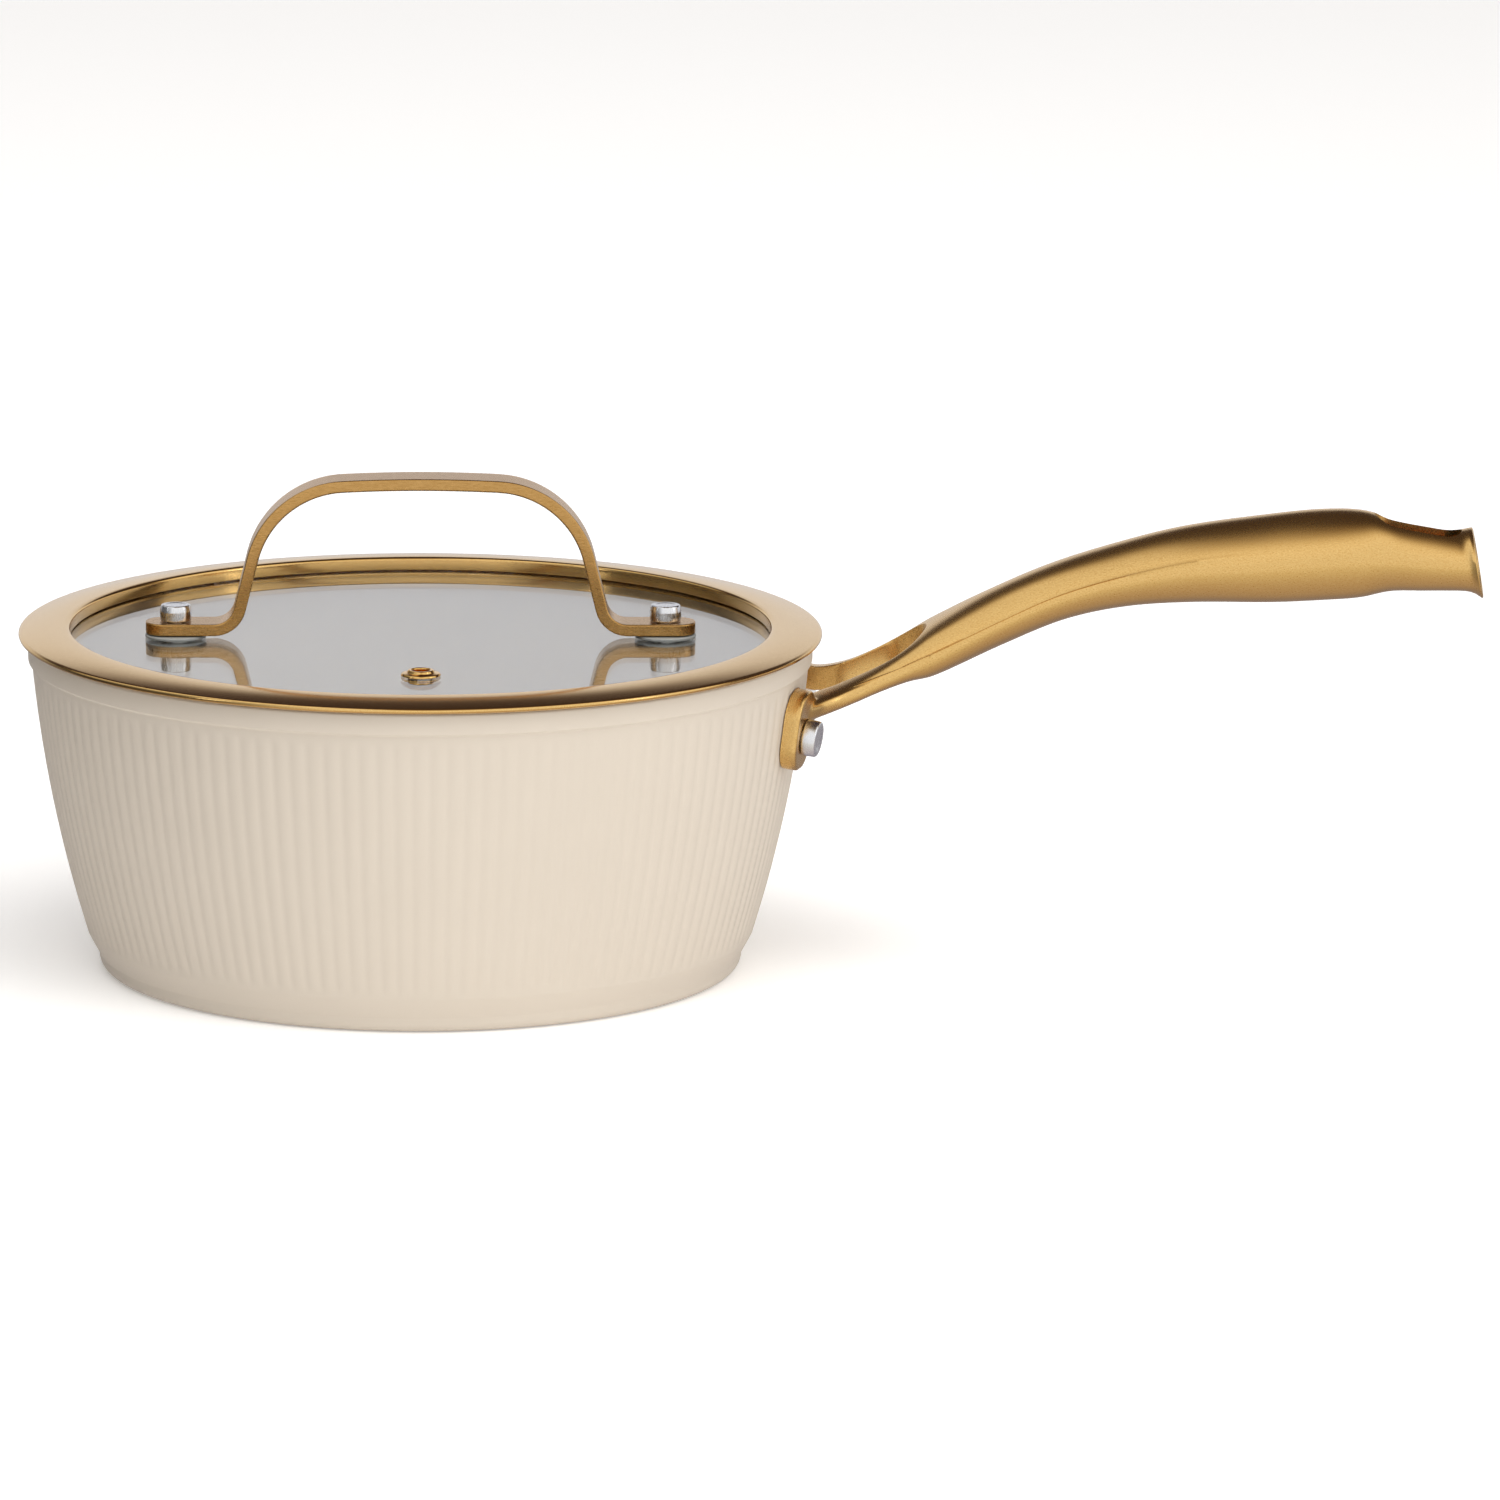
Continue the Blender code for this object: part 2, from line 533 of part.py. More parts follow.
def strap_centre_line():
    """Half of the strap's centre line, from a foot's end to the middle of the bridge, as (x, height)."""
    height = STRAP_BOTTOM + STRAP_THICKNESS / 2
    x = -STRAP_LENGTH / 2 + STRAP_FOOT_LENGTH
    points = [(-STRAP_LENGTH / 2, height), (x - STRAP_FOOT_LENGTH / 2, height)]
    foot = arc((x, height + STRAP_FOOT_BEND), STRAP_FOOT_BEND, -math.pi / 2,
               STRAP_SIDE_ANGLE - math.pi / 2, 6)
    points += foot
    bend_rise = STRAP_BRIDGE_BEND * (math.cos(STRAP_CROWN_ANGLE) - math.cos(STRAP_SIDE_ANGLE))
    bend_run = STRAP_BRIDGE_BEND * (math.sin(STRAP_SIDE_ANGLE) - math.sin(STRAP_CROWN_ANGLE))
    tangent = math.tan(STRAP_SIDE_ANGLE)
    crown = math.tan(STRAP_CROWN_ANGLE / 2)
    top = height + STRAP_RISE
    # the straight side's run is set so that the crown ends at the strap's full rise
    foot_x, foot_z = foot[-1]
    run = (top - foot_z - bend_rise + (foot_x + bend_run) * crown) / (tangent - crown)
    side_top = (foot_x + run, foot_z + run * tangent)
    bend_centre = (
        side_top[0] + STRAP_BRIDGE_BEND * math.sin(STRAP_SIDE_ANGLE),
        side_top[1] - STRAP_BRIDGE_BEND * math.cos(STRAP_SIDE_ANGLE),
    )
    points += arc(bend_centre, STRAP_BRIDGE_BEND, math.pi / 2 + STRAP_SIDE_ANGLE,
                  math.pi / 2 + STRAP_CROWN_ANGLE, 8)
    start_x, start_z = points[-1]
    for share in (0.5, 1.0):
        eased = 1 - (1 - share) ** 2
        points.append((start_x * (1 - share), start_z + (top - start_z) * eased))
    return points


def offset_line(points, distance):
    """The line moved sideways, to its left for a positive distance."""
    moved = []
    for i, (x, z) in enumerate(points):
        before, after = points[max(i - 1, 0)], points[min(i + 1, len(points) - 1)]
        run, rise = after[0] - before[0], after[1] - before[1]
        length = math.hypot(run, rise)
        moved.append((x - distance * rise / length, z + distance * run / length))
    return moved


def make_lid_handle(parts, cutters, material):
    """The flat strap: its side outline extruded, its feet rounded, two pin holes."""
    half = strap_centre_line()
    line = half + [(-x, z) for x, z in reversed(half[:-1])]
    outline = offset_line(line, STRAP_THICKNESS / 2) + offset_line(line, -STRAP_THICKNESS / 2)[::-1]
    upright = Matrix.Rotation(math.pi / 2, 4, "X")
    strap = prism("lid_handle", outline, STRAP_WIDTH + 2 * OVERCUT, parts, upright, material)
    plan = rounded_rectangle(STRAP_LENGTH, STRAP_WIDTH, STRAP_END_RADIUS)
    middle = Matrix.Translation((0.0, 0.0, STRAP_BOTTOM + STRAP_RISE / 2))
    feet = prism("strap_plan", plan, 2 * STRAP_RISE, cutters, middle)
    boolean(strap, "INTERSECT", feet)
    for place, x in (("left", -PIN_SPACING / 2), ("right", PIN_SPACING / 2)):
        hole = cylinder("strap_hole_" + place, PIN_SHANK_RADIUS + CONTACT_GAP,
                        STRAP_THICKNESS + OVERCUT, cutters,
                        Matrix.Translation((x, 0.0, STRAP_BOTTOM + STRAP_THICKNESS / 2)))
        boolean(strap, "DIFFERENCE", hole)


def make_lid_pins(parts, metal, rubber, steel):
    """Each foot: a pin through washer, glass and bush, with a steel backing washer below."""
    flange_top = GLASS_BOTTOM - CONTACT_GAP
    flange_bottom = flange_top - BUSH_FLANGE_THICKNESS
    backing_top = flange_bottom - CONTACT_GAP
    backing_bottom = backing_top - BACKING_THICKNESS
    head_top = backing_bottom - CONTACT_GAP
    head_bottom = head_top - PIN_HEAD_HEIGHT
    tail_bottom = STRAP_TOP_AT_FOOT + CONTACT_GAP
    tail_top = tail_bottom + PIN_TAIL_LENGTH
    tail_edge = 0.0004
    washer_bottom = GLASS_TOP + CONTACT_GAP
    washer_top = washer_bottom + WASHER_THICKNESS
    pin = [
        (0.0, tail_top),
        (PIN_TAIL_RADIUS - 1.5 * tail_edge, tail_top),
        (PIN_TAIL_RADIUS - 0.5 * tail_edge, tail_top - tail_edge),
        (PIN_TAIL_RADIUS, tail_top - 0.4 * PIN_TAIL_LENGTH),
        (PIN_TAIL_RADIUS, tail_bottom),
        (PIN_SHANK_RADIUS, tail_bottom),
        (PIN_SHANK_RADIUS, head_top),
        (PIN_HEAD_RADIUS, head_top),
        (PIN_HEAD_RADIUS, head_top - 0.4 * PIN_HEAD_HEIGHT),
        (0.7 * PIN_HEAD_RADIUS, head_bottom),
        (0.0, head_bottom),
    ]
    washer = [
        (WASHER_RADIUS, washer_top), (WASHER_RADIUS, washer_bottom),
        (PIN_BUSH_BORE, washer_bottom), (PIN_BUSH_BORE, washer_top),
    ]
    bush = [
        (PIN_BUSH_RADIUS, GLASS_TOP), (PIN_BUSH_RADIUS, flange_top), (WASHER_RADIUS, flange_top),
        (WASHER_RADIUS, flange_bottom), (PIN_BUSH_BORE, flange_bottom), (PIN_BUSH_BORE, GLASS_TOP),
    ]
    backing = [
        (0.9 * WASHER_RADIUS, backing_top), (0.9 * WASHER_RADIUS, backing_bottom),
        (PIN_BUSH_BORE, backing_bottom), (PIN_BUSH_BORE, backing_top),
    ]
    for place, x in (("left", -PIN_SPACING / 2), ("right", PIN_SPACING / 2)):
        pieces = (
            turned("lid_pin_" + place, pin, parts, metal, closed=False),
            turned("top_washer_" + place, washer, parts, rubber),
            turned("glass_bush_" + place, bush, parts, rubber),
            turned("backing_washer_" + place, backing, parts, steel),
        )
        for piece in pieces:
            piece.location.x = x


def make_vent(parts, material):
    """The steam vent: an eyelet through the glass, rolled over a ring underneath."""
    ring_top = GLASS_BOTTOM - CONTACT_GAP
    ring_bottom = ring_top - VENT_RING_THICKNESS
    roll_top = ring_bottom - CONTACT_GAP
    roll_thickness = 0.0007
    flange = GLASS_TOP + CONTACT_GAP
    crest = flange + VENT_FLANGE_HEIGHT
    ring_bore = VENT_BARREL_RADIUS + CONTACT_GAP
    eyelet = [
        (VENT_BARREL_RADIUS, crest),
        (0.78 * VENT_FLANGE_RADIUS, flange + 0.75 * VENT_FLANGE_HEIGHT),
        (VENT_FLANGE_RADIUS, flange + 0.3 * VENT_FLANGE_HEIGHT),
        (VENT_FLANGE_RADIUS, flange),
        (VENT_BARREL_RADIUS, flange),
        (VENT_BARREL_RADIUS, roll_top),
        (VENT_BARREL_RADIUS + VENT_ROLL_WIDTH, roll_top),
        (VENT_BARREL_RADIUS + 0.7 * VENT_ROLL_WIDTH, roll_top - roll_thickness),
        (VENT_BORE_RADIUS + 0.0003, roll_top - roll_thickness),
        (VENT_BORE_RADIUS, roll_top),
        (VENT_BORE_RADIUS, flange + 0.5 * VENT_FLANGE_HEIGHT),
        (VENT_BORE_RADIUS + 0.0003, crest - 0.0001),
    ]
    ring = [
        (VENT_FLANGE_RADIUS, ring_top), (VENT_FLANGE_RADIUS, ring_bottom),
        (ring_bore, ring_bottom), (ring_bore, ring_top),
    ]
    for piece in (turned("vent_eyelet", eyelet, parts, material), turned("vent_ring", ring, parts, material)):
        piece.location.y = VENT_OFFSET


def new_collection(name):
    collection = bpy.data.collections.new(name)
    bpy.context.scene.collection.children.link(collection)
    return collection


def main():
    for item in list(bpy.data.objects):
        bpy.data.objects.remove(item)
    parts = new_collection("saucepan")
    cutters = new_collection("cutters")
    cream = make_material("cream_ceramic", (0.68, 0.60, 0.50), 0.42)
    gold = make_material("gold_steel", (0.62, 0.41, 0.16), 0.3, 1.0)
    aluminium = make_material("aluminium", (0.78, 0.79, 0.80), 0.28, 1.0)
    steel = make_material("stainless_steel", (0.62, 0.62, 0.61), 0.32, 1.0)
    rubber = make_material("grey_silicone", (0.16, 0.17, 0.17), 0.5)
    glass = make_material("clear_glass", (0.95, 0.97, 0.96), 0.02, 0.0, 1.0)
    make_pan_body(parts, cutters, cream)
    make_induction_plate(parts, steel)
    make_pan_handle(parts, cutters, gold)
    make_handle_rivets(parts, aluminium)
    make_lid_ring(parts, gold)
    make_lid_glass(parts, cutters, glass)
    make_lid_handle(parts, cutters, gold)
    make_lid_pins(parts, aluminium, rubber, steel)
    make_vent(parts, gold)


main()
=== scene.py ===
# Saucepan with a ribbed cream body, a gold fork handle and a flat glass lid.
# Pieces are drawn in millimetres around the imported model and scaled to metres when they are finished.
import math

import bmesh
import bpy
from mathutils import Matrix, Vector
from mathutils.bvhtree import BVHTree


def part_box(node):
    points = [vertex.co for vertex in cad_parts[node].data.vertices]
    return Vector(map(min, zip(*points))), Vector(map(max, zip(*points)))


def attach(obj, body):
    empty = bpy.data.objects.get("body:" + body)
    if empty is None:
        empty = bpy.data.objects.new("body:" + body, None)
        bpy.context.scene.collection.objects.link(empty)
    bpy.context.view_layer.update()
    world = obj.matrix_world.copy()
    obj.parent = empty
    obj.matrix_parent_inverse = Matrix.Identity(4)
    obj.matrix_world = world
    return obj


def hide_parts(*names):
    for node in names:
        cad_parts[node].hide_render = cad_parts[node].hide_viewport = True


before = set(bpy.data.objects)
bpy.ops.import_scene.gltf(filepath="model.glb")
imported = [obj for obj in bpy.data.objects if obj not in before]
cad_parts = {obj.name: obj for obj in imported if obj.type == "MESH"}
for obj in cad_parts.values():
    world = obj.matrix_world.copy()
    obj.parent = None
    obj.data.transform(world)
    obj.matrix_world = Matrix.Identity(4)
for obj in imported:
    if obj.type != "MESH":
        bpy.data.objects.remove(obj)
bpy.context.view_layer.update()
mm = 0.001
clearance = 0.25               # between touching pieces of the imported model, in millimetres


def boxOf(node):  # a CAD node's lowest and highest corners, in millimetres
    low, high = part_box(node)
    return low / mm, high / mm


# Helpers: colours, nodes, outlines and finished pieces

def toLinear(code):  # an sRGB hex value as linear red, green, blue, alpha
    shares = [int(code[i:i + 2], 16) / 255 for i in (0, 2, 4)]
    return [c / 12.92 if c <= 0.04045 else ((c + 0.055) / 1.055) ** 2.4 for c in shares] + [1.0]


def perMetre(size):  # a noise scale from the size of its grain in millimetres
    return 1 / (size * mm)


def addNode(tree, kind, settings={}, links={}):
    node = tree.nodes.new("ShaderNode" + kind)
    for key, value in settings.items():
        if isinstance(key, str) and hasattr(node, key):
            setattr(node, key, value)
        else:
            node.inputs[key].default_value = value
    for key, source in links.items():
        tree.links.new(source, node.inputs[key])
    return node


def newMaterial(name, base, roughness, metallic=0.0, extra={}):
    material = bpy.data.materials.new(name)
    material.use_nodes = True
    tree = material.node_tree
    shader = tree.nodes["Principled BSDF"]
    shader.inputs["Base Color"].default_value = toLinear(base)
    shader.inputs["Roughness"].default_value = roughness
    shader.inputs["Metallic"].default_value = metallic
    for key, value in extra.items():
        shader.inputs[key].default_value = value
    where = addNode(tree, "TexCoord").outputs["Object"]
    return material, tree, shader, where


def dress(tree, shader, colour, roughness, normal):
    tree.links.new(colour, shader.inputs["Base Color"])
    tree.links.new(roughness, shader.inputs["Roughness"])
    tree.links.new(normal, shader.inputs["Normal"])


def roundLine(corners, closed=False, steps=6):
    # a line through corners (x, y, radius), with an arc at each corner that has a radius
    points = []
    count = len(corners)
    for i, corner in enumerate(corners):
        here = Vector(corner[:2])
        radius = corner[2] if len(corner) > 2 else 0
        if not radius or (not closed and i in (0, count - 1)):
            points.append(here)
            continue
        back = (Vector(corners[i - 1][:2]) - here).normalized()
        on = (Vector(corners[(i + 1) % count][:2]) - here).normalized()
        half = back.angle(on) / 2
        centre = here + (back + on).normalized() * radius / math.sin(half)
        start = here + back * radius / math.tan(half) - centre
        end = here + on * radius / math.tan(half) - centre
        sweep = math.pi - 2 * half
        for step in range(steps + 1):
            share = step / steps
            points.append(centre + (start * math.sin((1 - share) * sweep) + end * math.sin(share * sweep))
                          / math.sin(sweep))
    return points


def turnSector(points, steps, angle, closed=False):  # part of a turned surface, from points (radius, height)
    shape = bmesh.new()
    verts = [shape.verts.new((x, 0, z)) for x, z in points]
    edges = [shape.edges.new(pair) for pair in zip(verts, verts[1:])]
    if closed:
        edges.append(shape.edges.new((verts[-1], verts[0])))
    bmesh.ops.spin(shape, geom=verts + edges, cent=(0, 0, 0), axis=(0, 0, 1), dvec=(0, 0, 0), angle=angle,
                   steps=steps)
    return shape


def wholeOf(shape):
    return shape.verts[:] + shape.edges[:] + shape.faces[:]


def repeatRound(shape, copies, angle):  # the shape and its copies side by side about the Z axis
    bmesh.ops.spin(shape, geom=wholeOf(shape), cent=(0, 0, 0), axis=(0, 0, 1),
                   dvec=(0, 0, 0), angle=angle * (copies - 1), steps=copies - 1, use_duplicate=True)


def turn(points, steps, closed=False, sectors=8):  # a whole turned surface, made as equal sectors
    shape = turnSector(points, steps // sectors, 2 * math.pi / sectors, closed)
    repeatRound(shape, sectors, 2 * math.pi / sectors)
    return shape


def newItem(name, shape, material=None):  # an object made from a bmesh, which is freed
    mesh = bpy.data.meshes.new(name)
    shape.to_mesh(mesh)
    shape.free()
    if material:
        mesh.materials.append(material)
    item = bpy.data.objects.new(name, mesh)
    bpy.context.scene.collection.objects.link(item)
    return item


def finishPiece(shape, name, material, body, slotName, replaced=(), place=None, sharp=40):
    if place is not None:
        bmesh.ops.transform(shape, matrix=place, verts=shape.verts)
    bmesh.ops.remove_doubles(shape, verts=shape.verts, dist=0.002)
    bmesh.ops.recalc_face_normals(shape, faces=shape.faces)
    bmesh.ops.scale(shape, vec=(mm, mm, mm), verts=shape.verts)
    piece = newItem(name, shape, material)
    piece.data.shade_smooth()
    piece.data.set_sharp_from_angle(angle=math.radians(sharp))
    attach(piece, body)
    if replaced:
        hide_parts(*replaced)
    return piece


def applied(shape, modify):  # the shape after a modifier, as a new bmesh
    item = newItem("working", shape)
    modify(item)
    graph = bpy.context.evaluated_depsgraph_get()
    result = bmesh.new()
    result.from_mesh(bpy.data.meshes.new_from_object(item.evaluated_get(graph)))
    bpy.data.objects.remove(item)
    return result


def eased(value, start, end):  # 0 at start, 1 at end, smooth between
    share = min(max((value - start) / (end - start), 0.0), 1.0)
    return share * share * (3 - 2 * share)


# Finishes

def creamCoating():
    # Sprayed and baked ceramic coating on aluminium: a soft matte skin, faintly clouded, with a fine
    # orange peel.
    material, tree, shader, where = newMaterial("cream_ceramic_coating", "d0c5b6", 0.5, 0.0,
                                                {"Specular IOR Level": 0.4})
    cloud = addNode(tree, "TexNoise", {"Scale": perMetre(30.0), "Detail": 2.0}, {"Vector": where})
    peel = addNode(tree, "TexNoise", {"Scale": perMetre(0.5), "Detail": 2.0}, {"Vector": where})
    shade = addNode(tree, "Mix", {"data_type": "RGBA", 6: toLinear("cec3b4"), 7: toLinear("d2c7b8")},
                    {0: cloud.outputs["Fac"]})
    roughness = addNode(tree, "MapRange", {"From Min": 0.3, "From Max": 0.7, "To Min": 0.44, "To Max": 0.56},
                        {"Value": peel.outputs["Fac"]})
    bump = addNode(tree, "Bump", {"Distance": 0.012 * mm}, {"Height": peel.outputs["Fac"]})
    dress(tree, shader, shade.outputs[2], roughness.outputs["Result"], bump.outputs["Normal"])
    return material


def goldFinish(name, dark, light, roughness, grain, stretch, depth):
    # Stainless steel with a vapour-deposited gold colour over a satin face: tiny scratches soften its
    # reflections, and the colour shifts a little from grain to grain.
    material, tree, shader, where = newMaterial(name, light, roughness, 1.0)
    drawn = addNode(tree, "Mapping", {"Scale": [1 / size for size in stretch]}, {"Vector": where})
    satin = addNode(tree, "TexNoise", {"Scale": perMetre(grain), "Detail": 3.0},
                    {"Vector": drawn.outputs["Vector"]})
    share = addNode(tree, "MapRange", {"From Min": 0.3, "From Max": 0.7}, {"Value": satin.outputs["Fac"]})
    shade = addNode(tree, "Mix", {"data_type": "RGBA", 6: toLinear(dark), 7: toLinear(light)},
                    {0: share.outputs["Result"]})
    dulling = addNode(tree, "MapRange", {"To Min": roughness + 0.05, "To Max": roughness - 0.04},
                      {"Value": share.outputs["Result"]})
    bump = addNode(tree, "Bump", {"Distance": depth * mm}, {"Height": satin.outputs["Fac"]})
    dress(tree, shader, shade.outputs[2], dulling.outputs["Result"], bump.outputs["Normal"])
    return material


def aluminiumFinish():
    # Upset aluminium rivet wire: bright and slightly frosted, with fine marks from the die.
    material, tree, shader, where = newMaterial("pressed_aluminium", "dfe0e3", 0.2, 1.0)
    drawn = addNode(tree, "Mapping", {"Scale": (1, 1, 0.2)}, {"Vector": where})
    marks = addNode(tree, "TexNoise", {"Scale": perMetre(0.35), "Detail": 2.0},
                    {"Vector": drawn.outputs["Vector"]})
    shade = addNode(tree, "Mix", {"data_type": "RGBA", 6: toLinear("dcdde1"), 7: toLinear("f2f2f3")},
                    {0: marks.outputs["Fac"]})
    roughness = addNode(tree, "MapRange", {"From Min": 0.3, "From Max": 0.7, "To Min": 0.18, "To Max": 0.3},
                        {"Value": marks.outputs["Fac"]})
    bump = addNode(tree, "Bump", {"Distance": 0.004 * mm}, {"Height": marks.outputs["Fac"]})
    dress(tree, shader, shade.outputs[2], roughness.outputs["Result"], bump.outputs["Normal"])
    return material


def steelFinish():
    # Magnetic stainless sheet, faced on a lathe: fine rings that catch the light as spokes.
    material, tree, shader, where = newMaterial("faced_stainless_steel", "c6c5c2", 0.3, 1.0)
    flat = addNode(tree, "VectorMath", {"operation": "MULTIPLY", 1: (1, 1, 0)}, {0: where})
    radius = addNode(tree, "VectorMath", {"operation": "LENGTH"}, {0: flat.outputs["Vector"]})
    rings = addNode(tree, "TexNoise", {"noise_dimensions": "1D", "Scale": perMetre(0.3), "Detail": 3.0},
                    {"W": radius.outputs["Value"]})
    shade = addNode(tree, "Mix", {"data_type": "RGBA", 6: toLinear("a9a8a5"), 7: toLinear("e0dfdc")},
                    {0: rings.outputs["Fac"]})
    roughness = addNode(tree, "MapRange", {"From Min": 0.3, "From Max": 0.7, "To Min": 0.24, "To Max": 0.38},
                        {"Value": rings.outputs["Fac"]})
    bump = addNode(tree, "Bump", {"Distance": 0.01 * mm}, {"Height": rings.outputs["Fac"]})
    dress(tree, shader, shade.outputs[2], roughness.outputs["Result"], bump.outputs["Normal"])
    return material


def siliconeFinish():
    # Moulded grey silicone rubber: dull, a little lighter where dust and wear have frosted it.
    material, tree, shader, where = newMaterial("moulded_grey_silicone", "959896", 0.4)
    frost = addNode(tree, "TexNoise", {"Scale": perMetre(0.8), "Detail": 2.0}, {"Vector": where})
    shade = addNode(tree, "Mix", {"data_type": "RGBA", 6: toLinear("878a88"), 7: toLinear("a3a6a4")},
                    {0: frost.outputs["Fac"]})
    roughness = addNode(tree, "MapRange", {"From Min": 0.3, "From Max": 0.7, "To Min": 0.3, "To Max": 0.48},
                        {"Value": frost.outputs["Fac"]})
    bump = addNode(tree, "Bump", {"Distance": 0.02 * mm}, {"Height": frost.outputs["Fac"]})
    dress(tree, shader, shade.outputs[2], roughness.outputs["Result"], bump.outputs["Normal"])
    return material


def glassFinish():
    # Tempered float glass: clear and mirror-smooth, with the very slow waviness that tempering leaves.
    material, tree, shader, where = newMaterial("tempered_clear_glass", "f4f4f2", 0.0, 0.0,
                                                {"Transmission Weight": 1.0, "IOR": 1.5})
    wave = addNode(tree, "TexNoise", {"Scale": perMetre(60.0)}, {"Vector": where})
    shade = addNode(tree, "Mix", {"data_type": "RGBA", 6: toLinear("f1f2f0"), 7: toLinear("f8f8f6")},
                    {0: wave.outputs["Fac"]})
    roughness = addNode(tree, "MapRange", {"To Min": 0.0, "To Max": 0.02}, {"Value": wave.outputs["Fac"]})
    bump = addNode(tree, "Bump", {"Distance": 0.01 * mm}, {"Height": wave.outputs["Fac"]})
    dress(tree, shader, shade.outputs[2], roughness.outputs["Result"], bump.outputs["Normal"])
    return material


def floorFinish():
    # Matte white paper sweep under the studio lights.
    material, tree, shader, where = newMaterial("white_paper_floor", "fbfbfb", 0.9, 0.0,
                                                {"Specular IOR Level": 0.1, "Emission Color": (1, 1, 1, 1),
                                                 "Emission Strength": studio["floorGlow"]})
    fibre = addNode(tree, "TexNoise", {"Scale": perMetre(3.0), "Detail": 2.0}, {"Vector": where})
    shade = addNode(tree, "Mix", {"data_type": "RGBA", 6: toLinear("fafafa"), 7: toLinear("fdfdfd")},
                    {0: fibre.outputs["Fac"]})
    tree.links.new(shade.outputs[2], shader.inputs["Base Color"])
    return material


def cardFinish():
    # Black flock-covered card: it takes light from one side, so the object's edge there deepens.
    material, tree, shader, where = newMaterial("black_card_flock", "262524", 0.95)
    flock = addNode(tree, "TexNoise", {"Scale": perMetre(1.5), "Detail": 2.0}, {"Vector": where})
    shade = addNode(tree, "Mix", {"data_type": "RGBA", 6: toLinear("222120"), 7: toLinear("2c2b2a")},
                    {0: flock.outputs["Fac"]})
    tree.links.new(shade.outputs[2], shader.inputs["Base Color"])
    return material


cream = creamCoating()
castGold = goldFinish("cast_gold_handle_finish", "dcb06a", "eac480", 0.25, 0.24, (2, 1, 1), 0.0022)
ringGold = goldFinish("satin_gold_ring_finish", "dcb16d", "e8c280", 0.14, 0.3, (1, 1, 1), 0.0006)
strapGold = goldFinish("brushed_gold_strap_finish", "bc9053", "cca265", 0.26, 0.16, (8, 1, 1), 0.002)
brightGold = goldFinish("polished_gold_eyelet_finish", "dcb06a", "e9bf79", 0.08, 0.5, (1, 1, 1), 0.0005)
aluminium = aluminiumFinish()
steel = steelFinish()
silicone = siliconeFinish()
glass = glassFinish()
print("finishes ready")


# Pan body

panLow, panHigh = boxOf("pan_body")
pan = {
    "height": panHigh.z,
    "lipRadius": panHigh.x,
    "bandHeight": 5.5,         # smooth band under the lip
    "bandStep": 1.1,
    "footRadius": 87.8,
    "footHeight": 11.0,
    "bulge": 1.8,
    "wall": 2.6,
    "floor": 5.0,
    "floorCorner": 9.0,
    "baseStep": 3.6,
    "baseHeight": 3.6,
    "plateRadius": 70.25,
    "plateRecess": 1.05,
    "ribs": 140,
    "ribGroups": 20,           # one rib is copied into a group, and the group copied round
    "ribDepth": 0.27,
    "ribSteps": 6,             # points around one rib
    "ribTop": 79.9,
    "ribFoot": 9.4,
    "ribFade": 3.4,            # how far the ribs take to sink into the bands
    "wallRows": 14,
}
wallTop = pan["height"] - pan["bandHeight"] - pan["bandStep"]


def wallRadius(height):  # outside of the pan's wall: a cone that bows out a little
    share = (height - pan["footHeight"]) / (wallTop - pan["footHeight"])
    cone = pan["footRadius"] + (pan["lipRadius"] - pan["bandStep"] - pan["footRadius"]) * share
    return cone + pan["bulge"] * 4 * share * (1 - share)


def wallLean(height):
    return math.atan((wallRadius(height + 1) - wallRadius(height - 1)) / 2)


